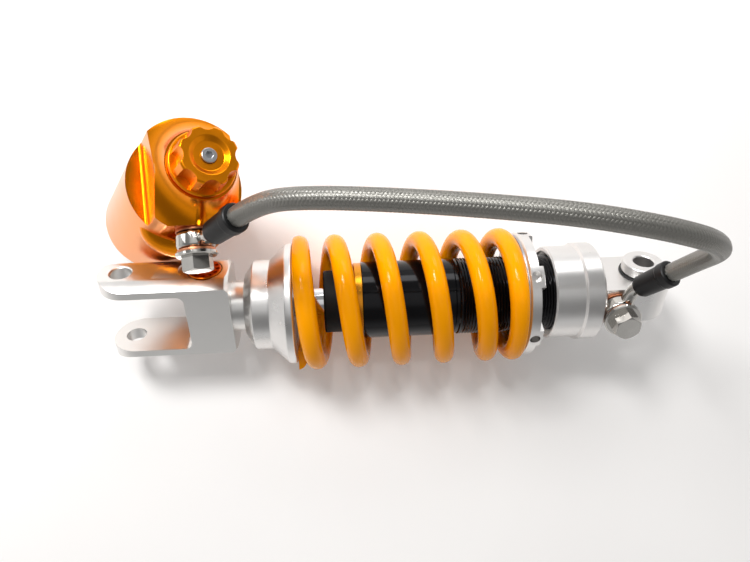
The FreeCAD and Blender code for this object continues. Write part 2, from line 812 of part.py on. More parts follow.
# Spherical bearing, its dust seals and the two collars.
socket = doc.addObject("Part::Sphere", "race_socket")
bind(socket, Radius="ball_radius + fit_gap")
race = cut("race_cut", cylinder("race_ring", "Y", "race_radius", "2 * race_half", "0", "-race_half"), socket)
piece(race, "bearing_race", eye_frame)
globe = doc.addObject("Part::Sphere", "ball_globe")
bind(globe, Radius="ball_radius")
ball_band = cylinder("ball_band", "Y", "ball_radius + 1", "2 * ball_half", "0", "-ball_half")
ball_bore = cylinder("ball_bore", "Y", "ball_bore_radius", "2 * ball_half", "0", "-ball_half")
ball = cut("ball_bored", shared("ball_flats", globe, ball_band), ball_bore)
piece(ball, "bearing_ball", eye_frame)
seal_from = "(race_half + circlip_thick + 1.3)"
lip_from = "block_half_thick"
seals, collars = [], []
for side, yaw in (("upper", "90"), ("lower", "-90")):
    seals.append(
        turned(
            f"eye_seal_{side}",
            [
                (seal_from, "spacer_radius + soft_gap"),
                (seal_from, "race_radius - fit_gap"),
                (lip_from, "race_radius - fit_gap"),
                (lip_from, "eye_seal_radius"),
                (f"{lip_from} + eye_seal_lip - 0.3", "eye_seal_radius"),
                (f"{lip_from} + eye_seal_lip", "eye_seal_radius - 0.3"),
                (f"{lip_from} + eye_seal_lip", "spacer_radius + soft_gap"),
            ],
        )
    )
    flange = "(eye_half_length - collar_thick)"
    collars.append(
        turned(
            f"collar_{side}",
            [
                ("0.05", "eye_bore_radius"),
                ("0.05", "ball_bore_radius - fit_gap"),
                ("ball_half", "ball_bore_radius - fit_gap"),
                ("ball_half", "spacer_radius"),
                (flange, "spacer_radius"),
                (flange, "collar_radius - 0.3"),
                (f"{flange} + 0.3", "collar_radius"),
                ("eye_half_length - 0.6", "collar_radius"),
                ("eye_half_length", "collar_radius - 0.6"),
                ("eye_half_length", "eye_bore_radius + 0.6"),
                ("eye_half_length - 0.6", "eye_bore_radius"),
            ],
        )
    )
    for item in (seals[-1], collars[-1]):
        bind(item, Placement=spot(yaw=yaw))
for label, items in (("eye_dust_seals", seals), ("eye_collars", collars)):
    pair = doc.addObject("Part::Compound", label + "_pair")
    pair.Links = items
    piece(pair, label, eye_frame)


def banjo_bolt(name, label, face, depth, place):
    """A hollow flanged bolt standing on a face, its shank going down into the hole."""
    head_at = f"({face} + 2 * washer_thick + banjo_height)"
    top = f"({head_at} + flange_thick + hex_height)"
    flange_top = f"({head_at} + flange_thick)"
    shank = turned(
        name + "_shank",
        [
            (f"{face} - {depth}", "oil_way_radius"),
            (f"{face} - {depth}", "banjo_bolt_radius - 0.4"),
            (f"{face} - {depth} + 0.4", "banjo_bolt_radius"),
            (head_at, "banjo_bolt_radius"),
            (head_at, "flange_radius - 0.3"),
            (f"{head_at} + 0.3", "flange_radius"),
            (f"{flange_top} - 0.6", "flange_radius"),
            (flange_top, "flange_radius - 0.8"),
            (flange_top, "0"),
            (f"{face} + washer_thick + banjo_height", "0"),
            (f"{face} + washer_thick + banjo_height", "oil_way_radius"),
        ],
    )
    bar_at = spot(f"{flange_top} - 0.5", "0", "0", "0", "90", "0")
    bar = hexagon(name + "_bar", "hex_width", "hex_height + 0.5", bar_at)
    bevel = turned(
        name + "_bevel",
        [
            (f"{flange_top} - 0.5", "0"),
            (f"{flange_top} - 0.5", "hex_width / 2 / cos(30)"),
            (f"{top} - 0.5", "hex_width / 2 / cos(30)"),
            (top, "hex_width / 2 - 0.1"),
            (top, "0"),
        ],
    )
    whole = fused(name + "_whole", shank, shared(name + "_hex", bar, bevel))
    feed = f"{face} + washer_thick + banjo_height / 2"
    hole = cylinder(name + "_feed", "Y", "1.5", "2 * banjo_bolt_radius", feed, "-banjo_bolt_radius")
    return piece(cut(name + "_drilled", whole, hole), label, place)


def banjo_washers(name, label, face, place):
    pair = []
    for i, start in enumerate((face, f"({face} + washer_thick + banjo_height)")):
        disc = cylinder(f"{name}_disc_{i}", "X", "washer_radius", "washer_thick", start)
        hole = cylinder(f"{name}_hole_{i}", "X", "banjo_bore_radius", "washer_thick", start)
        pair.append(cut(f"{name}_{i}", disc, hole))
    both = doc.addObject("Part::Compound", name + "_pair")
    both.Links = pair
    return piece(both, label, place)


def made(name, shape):
    """A feature that holds a shape made by the functions below, in the row's own frame."""
    item = doc.addObject("Part::Feature", name)
    item.Shape = shape
    item.Placement = FreeCAD.Placement()
    return item


def rounded_path(points, bend=None):
    """Straight runs joined by tangent arcs; gives the wire and its tightest radius."""
    edges, radii, start = [], [], points[0]
    for before, corner, after in zip(points, points[1:], points[2:]):
        back = before - corner
        ahead = after - corner
        half_turn = (math.pi - back.getAngle(ahead)) / 2
        radius = 0.45 * min(back.Length, ahead.Length) / math.tan(half_turn)
        if bend:
            radius = min(radius, bend)
        radii.append(radius)
        tangent = radius * math.tan(half_turn)
        back.normalize()
        ahead.normalize()
        inward = (back + ahead).normalize()
        first = corner + back * tangent
        last = corner + ahead * tangent
        middle = corner + inward * (radius / math.cos(half_turn) - radius)
        edges.append(Part.LineSegment(start, first).toShape())
        edges.append(Part.Arc(first, middle, last).toShape())
        start = last
    edges.append(Part.LineSegment(start, points[-1]).toShape())
    return Part.Wire(edges), min(radii)


def swept(path, radius, start, along):
    ring = Part.Wire([Part.Circle(start, along, radius).toShape()])
    return path.makePipeShell([ring], True, False)


# Reservoir frame: X along its axis from the shelf, -Y toward the banjo.
tilt = "reservoir_lean"
reservoir_up = f"(-{spring_outside} + reservoir_radius * sin({tilt}) + reservoir_depth * cos({tilt}))"
reservoir_frame = spot(
    "-reservoir_x", "reservoir_y", reservoir_up, "reservoir_heading", "reservoir_lean - 90", "reservoir_turn"
)
skirt = "(reservoir_bore_radius - fit_gap)"
ring_place = "(head_skirt - head_ring_place)"
reservoir_blank = turned(
    "reservoir_head_blank",
    [
        ("0", "valve_radius + fit_gap"),
        ("0", skirt),
        (f"{ring_place} - ring_groove / 2", skirt),
        (f"{ring_place} - ring_groove / 2", f"{skirt} - ring_groove_depth"),
        (f"{ring_place} + ring_groove / 2", f"{skirt} - ring_groove_depth"),
        (f"{ring_place} + ring_groove / 2", skirt),
        ("head_skirt - tube_top", skirt),
        ("head_skirt - tube_top", "reservoir_radius"),
        ("head_skirt + head_height", "reservoir_radius"),
        ("head_skirt + head_height", "needle_radius + fit_gap"),
        ("head_skirt + valve_top", "needle_radius + fit_gap"),
        ("head_skirt + valve_top", "valve_radius + fit_gap"),
    ],
)
bind(reservoir_blank, Placement=spot("-head_skirt"))
flare = doc.addObject("Part::Torus", "head_flare")
bind(flare, Radius1="boss_radius + flare_radius", Radius2="flare_radius")
bind(flare, Placement=spot("flare_place", "0", "0", "0", "90", "0"))
head_tools = []
far = "(reservoir_radius + 1)"
for side in ("front", "back"):
    if side == "front":
        low, low_in, high = "shelf_half", "(shelf_half + shelf_fillet)", far
    else:
        low, low_in, high = f"-{far}", f"-{far}", "-shelf_half"
    inner_to = high if side == "front" else "-(shelf_half + shelf_fillet)"
    centre = "(shelf_half + shelf_fillet)" if side == "front" else "-(shelf_half + shelf_fillet)"
    head_tools.append(box(f"shelf_{side}", "shelf_fillet", "head_height + 1", f"-{far}", far, low, high))
    head_tools.append(box(f"shelf_floor_{side}", "0", "head_height + 1", f"-{far}", far, low_in, inner_to))
    round_at = ("shelf_fillet", f"-{far}", centre)
    head_tools.append(cylinder(f"shelf_round_{side}", "Y", "shelf_fillet", f"2 * {far}", *round_at))
head_tools += [
    box("port_face", "0", "head_height + 1", f"-{far}", "-port_flat", f"-{far}", far),
    cylinder("port_spot", "Y", "port_spot_radius", f"{far} - port_flat", "port_height", f"-{far}"),
    cylinder("port_thread", "Y", "banjo_bolt_radius + fit_gap", "11", "port_height", "-port_flat - 0.5"),
    cylinder("port_way", "Y", "oil_way_radius", "port_flat", "port_height", "-port_flat"),
]
flared = cut("reservoir_head_flared", reservoir_blank, flare)
piece(cut("reservoir_head_cut", flared, *head_tools), "reservoir_head", reservoir_frame)

# Reservoir tube with the lump that carries the port, and everything inside it.
bottom = "reservoir_depth"
lump = doc.addObject("Part::Ellipsoid", "port_lump")
bind(lump, Radius1="lump_half_height", Radius2="lump_half_wide", Radius3="lump_reach")
bind(lump, Placement=spot("-lump_place", "-lump_offset", "0", "0", "90", "0"))
barrel = cylinder("reservoir_barrel", "X", "reservoir_radius", f"{bottom} - tube_top", f"-{bottom}")
clip_from = "(end_cap_place + end_cap_thick)"
groove_radius = "reservoir_bore_radius + end_clip_depth"
reservoir_tube = cut(
    "reservoir_tube_cut",
    fused("reservoir_outside", barrel, lump),
    cylinder("reservoir_bore", "X", "reservoir_bore_radius", f"{bottom} + 20", f"-{bottom} - 10"),
    cylinder("reservoir_top", "X", "reservoir_radius + 20", "20", "-tube_top"),
    cylinder("end_groove", "X", groove_radius, "end_clip", f"-{clip_from} - end_clip"),
)
piece(reservoir_tube, "reservoir_tube", reservoir_frame)
ring_at = spot("-head_ring_place", "0", "0", "0", "90", "0")
seal_ring(
    "reservoir_ring_torus",
    "reservoir_head_ring",
    f"{skirt} - ring_groove_depth + 0.03",
    "reservoir_bore_radius - 0.03",
    reservoir_frame + " * " + ring_at,
)
valve_foot = "(head_skirt - 1)"
valve = turned(
    "valve_turning",
    [
        ("0", "oil_way_radius - 0.6"),
        ("0", "valve_radius"),
        (f"{valve_foot} + 4", "valve_radius"),
        (f"{valve_foot} + 4", "valve_radius - 2"),
        (f"{valve_foot} + 11", "valve_radius - 2"),
        (f"{valve_foot} + 11", "valve_radius"),
        (f"{valve_foot} + valve_top", "valve_radius"),
        (f"{valve_foot} + valve_top", "needle_radius + fit_gap"),
        (f"{valve_foot} + needle_bottom - 1", "needle_radius + fit_gap"),
        (f"{valve_foot} + needle_bottom - 1", "oil_way_radius - 0.6"),
    ],
)
piece(valve, "compression_valve", reservoir_frame + " * " + spot(f"-{valve_foot}"))
knob_base = "(head_height + knob_gap)"
needle_top = f"({knob_base} + 4)"
needle_length = f"({needle_top} - needle_bottom)"
needle = turned(
    "needle_turning",
    [
        ("0", "0"),
        ("0", "1.2"),
        ("2.5", "needle_radius"),
        (needle_length, "needle_radius"),
        (needle_length, "knob_screw_shank + fit_gap"),
        (f"{needle_length} - 4", "knob_screw_shank + fit_gap"),
        (f"{needle_length} - 4", "0"),
    ],
)
piece(needle, "compression_needle", reservoir_frame + " * " + spot("needle_bottom"))
knob_blank = turned(
    "knob_turning",
    [
        ("0", "needle_radius + fit_gap"),
        ("0", "knob_radius - 0.4"),
        ("0.4", "knob_radius"),
        ("knob_skirt - 0.4", "knob_radius"),
        ("knob_skirt", "knob_radius - 0.4"),
        ("knob_skirt", "knob_top_radius + 0.6"),
        ("knob_height - 0.8", "knob_top_radius + 0.1"),
        ("knob_height", "knob_top_radius - 0.7"),
        ("knob_height", "knob_recess_radius + knob_dish"),
        ("knob_height - knob_recess", "knob_recess_radius"),
        ("knob_height - knob_recess", "knob_screw_radius + fit_gap"),
        ("knob_height - knob_recess - knob_sink", "knob_screw_radius + fit_gap"),
        ("knob_height - knob_recess - knob_sink", "knob_screw_shank + fit_gap"),
        ("4.1", "knob_screw_shank + fit_gap"),
        ("4.1", "needle_radius + fit_gap"),
    ],
)


def grip(name, angle):
    item = doc.addObject("Part::Cylinder", name)
    bind(item, Radius="grip_radius", Height="knob_height")
    turn = spot("0", "0", "0", "0", "0", str(angle))
    return bind(item, Placement=turn + " * " + spot("knob_skirt", "grip_circle", "0", "0", "90", "0"))


knob_frame = reservoir_frame + " * " + spot(knob_base)
grip_count = int(size("grip_count"))
grips = [grip(f"grip_{i}", 360 / grip_count * i) for i in range(grip_count)]
piece(cut("knob_cut", knob_blank, *grips), "compression_knob", knob_frame)
screw_seat = "(knob_height - knob_recess - knob_sink)"
screw_length = "(knob_screw_length - knob_screw_head)"
screw = turned(
    "knob_screw_turning",
    [
        ("0", "0"),
        ("0", "knob_screw_shank"),
        (screw_length, "knob_screw_shank"),
        (screw_length, "knob_screw_radius"),
        (f"{screw_length} + knob_screw_head - 0.3", "knob_screw_radius"),
        (f"{screw_length} + knob_screw_head", "knob_screw_radius - 0.3"),
        (f"{screw_length} + knob_screw_head", "0"),
    ],
)
socket_place = spot(f"{screw_length} + knob_screw_head - 1.6", "0", "0", "0", "90", "0")
screw_cut = cut("knob_screw_cut", screw, hexagon("knob_socket", "3", "2", socket_place))
piece(screw_cut, "knob_screw", knob_frame + " * " + spot(f"{screw_seat} - {screw_length}"))

# Gas side: floating piston, end cap, circlip and valve.
float_out = "(reservoir_bore_radius - 2 * fit_gap)"
ring_from = "(float_length - float_ring) / 2"
floating = turned(
    "float_turning",
    [
        ("0", f"{float_out} - float_wall"),
        ("0", float_out),
        (ring_from, float_out),
        (ring_from, f"{float_out} - float_ring_depth"),
        (f"{ring_from} + float_ring", f"{float_out} - float_ring_depth"),
        (f"{ring_from} + float_ring", float_out),
        ("float_length", float_out),
        ("float_length", "0"),
        ("float_length - float_wall", "0"),
        ("float_length - float_wall", f"{float_out} - float_wall"),
    ],
)
float_bottom = "(float_top + float_length)"
piece(floating, "floating_piston", reservoir_frame + " * " + spot(f"-{float_bottom}"))
ring_at = spot(f"-{float_bottom} + float_length / 2", "0", "0", "0", "90", "0")
seal_ring(
    "float_ring_torus",
    "floating_ring",
    f"{float_out} - float_ring_depth + 0.03",
    "reservoir_bore_radius - 0.03",
    reservoir_frame + " * " + ring_at,
)
sleeve(
    "end_cap_turning",
    "reservoir_end_cap",
    "gas_valve_radius + fit_gap",
    "reservoir_bore_radius - fit_gap",
    "end_cap_thick",
    reservoir_frame + " * " + spot(f"-{clip_from}"),
)
clip_ring = turned(
    "end_clip_turning",
    [
        ("0", "end_clip_inner_radius"),
        ("0", "reservoir_bore_radius + end_clip_depth - fit_gap"),
        ("end_clip - fit_gap", "reservoir_bore_radius + end_clip_depth - fit_gap"),
        ("end_clip - fit_gap", "end_clip_inner_radius"),
    ],
)
bind(clip_ring, Placement=spot(f"-{clip_from} - end_clip + fit_gap / 2"))
clip_mouth = box("end_clip_mouth", f"-{clip_from} - end_clip", f"-{clip_from}", "0", f"{far}", "-4", "4")
piece(cut("end_clip_cut", clip_ring, clip_mouth), "end_cap_circlip", reservoir_frame)
stem = "(gas_valve_radius - 1)"
gas_valve = turned(
    "gas_valve_turning",
    [
        ("0", "1"),
        ("0", stem),
        ("gas_valve_length - end_cap_thick", stem),
        ("gas_valve_length - end_cap_thick", "gas_valve_radius"),
        ("gas_valve_length", "gas_valve_radius"),
        ("gas_valve_length", "gas_valve_radius + 2"),
        ("gas_valve_length + 1.4", "gas_valve_radius + 2"),
        ("gas_valve_length + 1.4", "1"),
    ],
)
piece(gas_valve, "gas_valve", reservoir_frame + " * " + spot("-end_cap_place - gas_valve_length"))
gas_cap = turned(
    "gas_cap_turning",
    [
        ("0", "0"),
        ("0", "gas_cap_radius - 0.4"),
        ("0.4", "gas_cap_radius"),
        ("gas_cap_length", "gas_cap_radius"),
        ("gas_cap_length", f"{stem} + fit_gap"),
        ("1.2", f"{stem} + fit_gap"),
        ("1.2", "0"),
    ],
)
piece(gas_cap, "gas_valve_cap", reservoir_frame + " * " + spot(f"-{clip_from} - 0.2 - gas_cap_length"))

# Banjo bolts and washers at both ends of the hose, each along the X axis of its frame.
cap_port = spot("-banjo_place", yaw="-90", pitch="bolt_turn - 90")
head_port = reservoir_frame + " * " + spot("port_height", yaw="-90")
banjo_bolt("cap_bolt", "cap_banjo_bolt", "block_half_wide", "banjo_bolt_depth", cap_port)
banjo_bolt("head_bolt", "head_banjo_bolt", "port_flat", "banjo_bolt_depth", head_port)
banjo_washers("cap_washer", "cap_banjo_washers", "block_half_wide", cap_port)
banjo_washers("head_washer", "head_banjo_washers", "port_flat", head_port)
doc.recompute()

# Hose: ends set by the two banjos, points between them as the braid hangs in the air.
up = -(size("spring_radius") + size("wire") / 2)
lean = math.radians(size("reservoir_lean"))
up += size("reservoir_radius") * math.sin(lean) + size("reservoir_depth") * math.cos(lean)
angles = (size("reservoir_heading"), size("reservoir_lean") - 90, size("reservoir_turn"))
seat = FreeCAD.Vector(-size("reservoir_x"), size("reservoir_y"), up)
reservoir_at = FreeCAD.Placement(seat, FreeCAD.Rotation(*angles))
cap_turn = FreeCAD.Rotation(-90, size("bolt_turn") - 90, 0)
cap_at = FreeCAD.Placement(FreeCAD.Vector(-size("banjo_place"), 0, 0), cap_turn)
ring_height = size("washer_thick") + size("banjo_height") / 2
head_ring = reservoir_at.multVec(FreeCAD.Vector(size("port_height"), -size("port_flat") - ring_height, 0))
cap_ring = cap_at.multVec(FreeCAD.Vector(size("block_half_wide") + ring_height, 0, 0))
neck_side = -size("port_flat") - ring_height - size("neck_offset")
head_out = size("port_height") + size("head_neck_run")
head_corner = reservoir_at.multVec(FreeCAD.Vector(head_out, neck_side, -size("head_neck_drop")))
cap_out = size("block_half_wide") + ring_height
cap_corner = cap_at.multVec(FreeCAD.Vector(cap_out, size("cap_neck_side"), size("cap_neck_run")))
leave = FreeCAD.Vector(0.64, 0.26, 0.722).normalize()
arrive = FreeCAD.Vector(0.401, 0.339, 0.851).normalize()
head_end = head_corner + leave * (size("sleeve_length") + size("neck_bend_run"))
cap_end = cap_corner + arrive * (size("sleeve_length") + size("neck_bend_run"))
hose_points = [
    head_end,
    head_end + leave * size("hose_first_run"),
    FreeCAD.Vector(-171.5, 41.3, 100.0),
    FreeCAD.Vector(-137.7, 38.3, 106.5),
    FreeCAD.Vector(-102.2, 33.9, 113.0),
    FreeCAD.Vector(-67.1, 28.7, 119.0),
    FreeCAD.Vector(-43.3, 23.8, 120.5),
    FreeCAD.Vector(-25.4, 21.6, 111.5),
    FreeCAD.Vector(-11.6, 24.6, 96.1),
    FreeCAD.Vector(-1.4, 22.5, 82.5),
    FreeCAD.Vector(3.0, 17.2, 69.4),
    cap_end + arrive * size("hose_last_run"),
    cap_end,
]
hose_path, hose_bend = rounded_path(hose_points)
hose_shape = swept(hose_path, size("hose_radius"), hose_points[0], hose_points[1] - hose_points[0])
hose_section = math.pi * size("hose_radius") ** 2
print("hose length", round(hose_path.Length, 1), "tightest bend", round(hose_bend, 1))
print("hose volume over section times length", round(hose_shape.Volume / hose_section / hose_path.Length, 4))
print("hose points", [[round(value, 2) for value in point] for point in hose_points])
piece(made("hose_tube", hose_shape), "braided_hose")


def hose_end_fitting(name, end, onward, ring_centre, port, face):
    """A sleeve behind the hose's end and the banjo whose neck runs into it."""
    along = FreeCAD.Vector(onward).normalize()
    corner = end - along * (size("sleeve_length") + size("neck_bend_run"))
    mouth = end - along * size("sleeve_length")
    neck_end = mouth + along * (size("neck_in_sleeve") - 0.2)
    neck_path, neck_bend = rounded_path([ring_centre, corner, neck_end], size("neck_tube_bend"))
    away = corner - ring_centre
    neck = made(name + "_neck", swept(neck_path, size("neck_tube_radius"), ring_centre, away))
    way = made(name + "_neck_way", swept(neck_path, size("neck_tube_radius") - 1.3, ring_centre, away))
    print(name, "neck", round(away.Length, 1), "bend", round(neck_bend, 1))
    low = f"({face} + washer_thick)"
    high = f"({low} + banjo_height)"
    barrel = turned(
        name + "_barrel",
        [
            (low, "0"),
            (low, "banjo_radius - banjo_rounding"),
            (f"{low} + banjo_rounding / 3", "banjo_radius - banjo_rounding / 3"),
            (f"{low} + banjo_rounding", "banjo_radius"),
            (f"{high} - banjo_rounding", "banjo_radius"),
            (f"{high} - banjo_rounding / 3", "banjo_radius - banjo_rounding / 3"),
            (high, "banjo_radius - banjo_rounding"),
            (high, "0"),
        ],
    )
    bind(barrel, Placement=port)
    bore = doc.addObject("Part::Cylinder", name + "_bore")
    bind(bore, Radius="banjo_bore_radius", Height="banjo_height + 2")
    bind(bore, Placement=port + " * " + spot(f"{low} - 1", "0", "0", "0", "90", "0"))
    banjo = cut(name + "_bored", fused(name + "_whole", barrel, neck), bore, way)
    piece(banjo, name, spot())
    hose_side = "sleeve_length - sleeve_collar"
    shell = turned(
        name + "_sleeve_turning",
        [
            ("0", "neck_tube_radius + fit_gap"),
            ("0", "sleeve_radius - sleeve_nose"),
            ("sleeve_nose / 4", "sleeve_radius - sleeve_nose / 2"),
            ("sleeve_nose", "sleeve_radius - 0.4"),
            (hose_side, "sleeve_radius"),
            (f"{hose_side} + 0.6", "sleeve_collar_radius"),
            ("sleeve_length - 0.6", "sleeve_collar_radius"),
            ("sleeve_length", "sleeve_collar_radius - 0.6"),
            ("sleeve_length", "neck_tube_radius - 1.3"),
            ("neck_in_sleeve", "neck_tube_radius - 1.3"),
            ("neck_in_sleeve", "neck_tube_radius + fit_gap"),
        ],
    )
    shell.Placement = FreeCAD.Placement(mouth, FreeCAD.Rotation(FreeCAD.Vector(1, 0, 0), along))
    piece(shell, name.replace("banjo", "hose_sleeve"))


start_run = hose_points[1] - hose_points[0]
end_run = hose_points[-2] - hose_points[-1]
hose_end_fitting("head_banjo", hose_points[0], start_run, head_ring, head_port, "port_flat")
hose_end_fitting("cap_banjo", hose_points[-1], end_run, cap_ring, cap_port, "block_half_wide")

# Coil spring: closed ends, even pitch between them, both end faces ground flat.
turns = size("spring_turns")
blend = size("end_turns")
close = size("end_pitch")
proud = size("wire") / 2 - size("perch_end_ground")
seat_proud = size("wire") / 2 - size("seat_end_ground")
spring_from = -(size("eye_to_eye") - size("clevis_end") - size("neck_length") - size("perch_length"))
spring_to = -(size("ring_right") + size("lug_height") + size("ring_body") + size("seat_thick"))
span = spring_to - spring_from - proud - seat_proud
open_pitch = (span - close * blend) / (turns - blend)


def rise(turn):
    """How far the coil's centre line has climbed after some turns from its first end."""
    share = min(turn, blend) / blend
    height = close * min(turn, blend) + (open_pitch - close) * blend * (share**3 - share**4 / 2)
    return height + open_pitch * max(turn - blend, 0)


def coil(turn):
    climbed = rise(turn) if turn < turns / 2 else span - rise(turns - turn)
    angle = 2 * math.pi * turn - math.radians(size("spring_start_angle"))
    radius = size("spring_radius")
    return FreeCAD.Vector(spring_from + proud + climbed, radius * math.cos(angle), radius * math.sin(angle))


def heading(turn):
    step = 0.0005
    return (coil(min(turn + step, turns)) - coil(max(turn - step, 0))).normalize()


def biarc(first, second, leave, arrive):
    """Two arcs that meet smoothly between two points with given directions."""
    chord = second - first
    total = leave + arrive
    bend = 2 * (1 - leave.dot(arrive))
    reach = (math.sqrt(chord.dot(total) ** 2 + bend * chord.dot(chord)) - chord.dot(total)) / bend
    near = first + leave * reach
    far_one = second - arrive * reach
    joint = (near + far_one) * 0.5
    arcs = []
    for a, corner, b in ((first, near, joint), (joint, far_one, second)):
        middle = (a + b) * 0.5
        cosine = (middle - a).Length / reach
        arcs.append(Part.Arc(a, middle + (corner - middle) * (cosine / (1 + cosine)), b))
    return arcs


arc_count = round(4 * turns)
stations = [turns * i / arc_count for i in range(arc_count + 1)]
arcs = []
for a, b in zip(stations, stations[1:]):
    arcs += biarc(coil(a), coil(b), heading(a), heading(b))
arcs = [arc.toShape() for arc in arcs]
spring_path = Part.Wire(arcs)
wire_tube = swept(spring_path, size("wire") / 2, coil(0), heading(0))
samples = [coil(turns * i / 1200) for i in range(1201)]
skip = round(1200 * 0.5 / turns)
least = min((a - b).Length for i, a in enumerate(samples) for b in samples[i + skip :])
tightest = min(arc.Curve.Radius for arc in arcs)
print("spring tightest bend", round(tightest, 2), "least gap", round(least - size("wire"), 2))
spring_section = math.pi * (size("wire") / 2) ** 2
spring_share = wire_tube.Volume / spring_section / spring_path.Length
print("spring volume over section times length", round(spring_share, 4))
slab = Part.makeCylinder(
    size("spring_radius") + size("wire"),
    spring_to - spring_from,
    FreeCAD.Vector(spring_from, 0, 0),
    FreeCAD.Vector(1, 0, 0),
)
piece(made("spring_wire", wire_tube.common(slab)), "coil_spring")

doc.recompute()
wrong = [item.Name for item in doc.Objects if "Invalid" in item.State or "Error" in item.State]
assert not wrong, f"not computed: {wrong}"
for item in pieces:
    shape = item.Shape
    assert not shape.isNull() and shape.isValid() and shape.Solids, item.Label
    Part.export([item], f"parts/{item.Label}.step")
    bounds = shape.BoundBox
    ends = [round(bounds.XMin, 2), round(bounds.XMax, 2)]
    print(item.Label, len(shape.Solids), round(shape.Volume, 1), ends)
print(len(pieces), "nodes written")
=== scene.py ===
import math

import bmesh
import bpy
import numpy as np
from mathutils import Matrix, Vector
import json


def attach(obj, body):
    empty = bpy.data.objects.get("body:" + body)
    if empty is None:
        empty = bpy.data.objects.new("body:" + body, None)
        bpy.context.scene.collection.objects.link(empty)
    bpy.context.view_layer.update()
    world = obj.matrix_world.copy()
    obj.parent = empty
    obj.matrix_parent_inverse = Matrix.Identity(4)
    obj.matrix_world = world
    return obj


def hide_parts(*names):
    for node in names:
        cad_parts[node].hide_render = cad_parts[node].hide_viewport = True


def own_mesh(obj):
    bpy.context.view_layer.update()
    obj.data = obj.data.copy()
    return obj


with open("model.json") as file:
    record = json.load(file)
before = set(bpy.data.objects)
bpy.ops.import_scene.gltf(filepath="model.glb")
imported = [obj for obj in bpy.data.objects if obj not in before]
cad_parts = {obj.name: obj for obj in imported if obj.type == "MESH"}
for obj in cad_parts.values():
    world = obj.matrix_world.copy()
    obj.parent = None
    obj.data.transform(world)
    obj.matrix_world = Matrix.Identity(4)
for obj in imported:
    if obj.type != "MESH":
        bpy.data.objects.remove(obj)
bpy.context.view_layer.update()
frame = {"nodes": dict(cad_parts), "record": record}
nodes = frame["nodes"]
mm = 0.001


def linear(hexText):
    # sRGB hex to the linear colour that the shader wants
    parts = [int(hexText[i:i + 2], 16) / 255 for i in (1, 3, 5)]
    return [c / 12.92 if c <= 0.04045 else ((c + 0.055) / 1.055) ** 2.4 for c in parts] + [1.0]


def toned(colour, share):
    # the same colour, darker or lighter
    return [min(1.0, c * share) for c in colour[:3]] + [1.0]


def feed(tree, node, links):
    # a socket takes a node's first output, a chosen output of a node, or a plain value
    for socket, value in links.items():
        target = node.inputs[socket]
        if isinstance(value, bpy.types.Node):
            tree.links.new(value.outputs[0], target)
        elif isinstance(value, tuple) and isinstance(value[0], bpy.types.Node):
            tree.links.new(value[0].outputs[value[1]], target)
        else:
            target.default_value = value


def addNode(tree, kind, settings=None, links=None):
    node = tree.nodes.new(kind)
    for name, value in (settings or {}).items():
        setattr(node, name, value)
    feed(tree, node, links or {})
    return node


# the camera stands nearly square over the floor, as in the photograph
view = {
    "place": (-160.08, 9.54, 337.58),  # mm, as are the lens, the sensor and the nearest distance
    "right": (0.99726, -0.04240, 0.06060),
    "up": (0.04236, 0.99910, 0.00260),
    "back": (-0.06070, 0.0, 0.99820),
    "lens": 31.12,
    "sensor": 36,
    "nearest": 10,
}
cameraData = bpy.data.cameras.new("camera")
cameraData.lens = view["lens"]
cameraData.sensor_width = view["sensor"]
cameraData.clip_start = view["nearest"] * mm
camera = bpy.data.objects.new("camera", cameraData)
bpy.context.collection.objects.link(camera)
turn = Matrix([view["right"], view["up"], view["back"]]).transposed().to_4x4()
camera.matrix_world = Matrix.Translation([v * mm for v in view["place"]]) @ turn
bpy.context.scene.camera = camera
bpy.context.scene.view_settings.view_transform = "Standard"
print("camera set")

# Grain and tool marks are drawn coarser than life, so that they show at this distance.
surface = {
    "mottle": 11.0,  # mm between two clouds in a metal's tint and gloss
    "metalGloss": (0.8, 1.25),  # shares of its roughness in the clouds and between them
    "cloud": 17.0,  # mm between two clouds in rubber, plastic and paint
    "polymerGloss": (0.85, 1.15),
    "polymerDark": 0.9,  # share of the colour where it is darkest
    "relief": 0.05,  # mm between the lowest and the highest of a grit or a tool mark
}
mixShare, mixFrom, mixTo, mixColour = 0, 6, 7, 2  # where Mix has its colour sockets


def newMaterial(name):
    made = bpy.data.materials.new(name)
    made.use_nodes = True
    return made, made.node_tree, made.node_tree.nodes["Principled BSDF"]


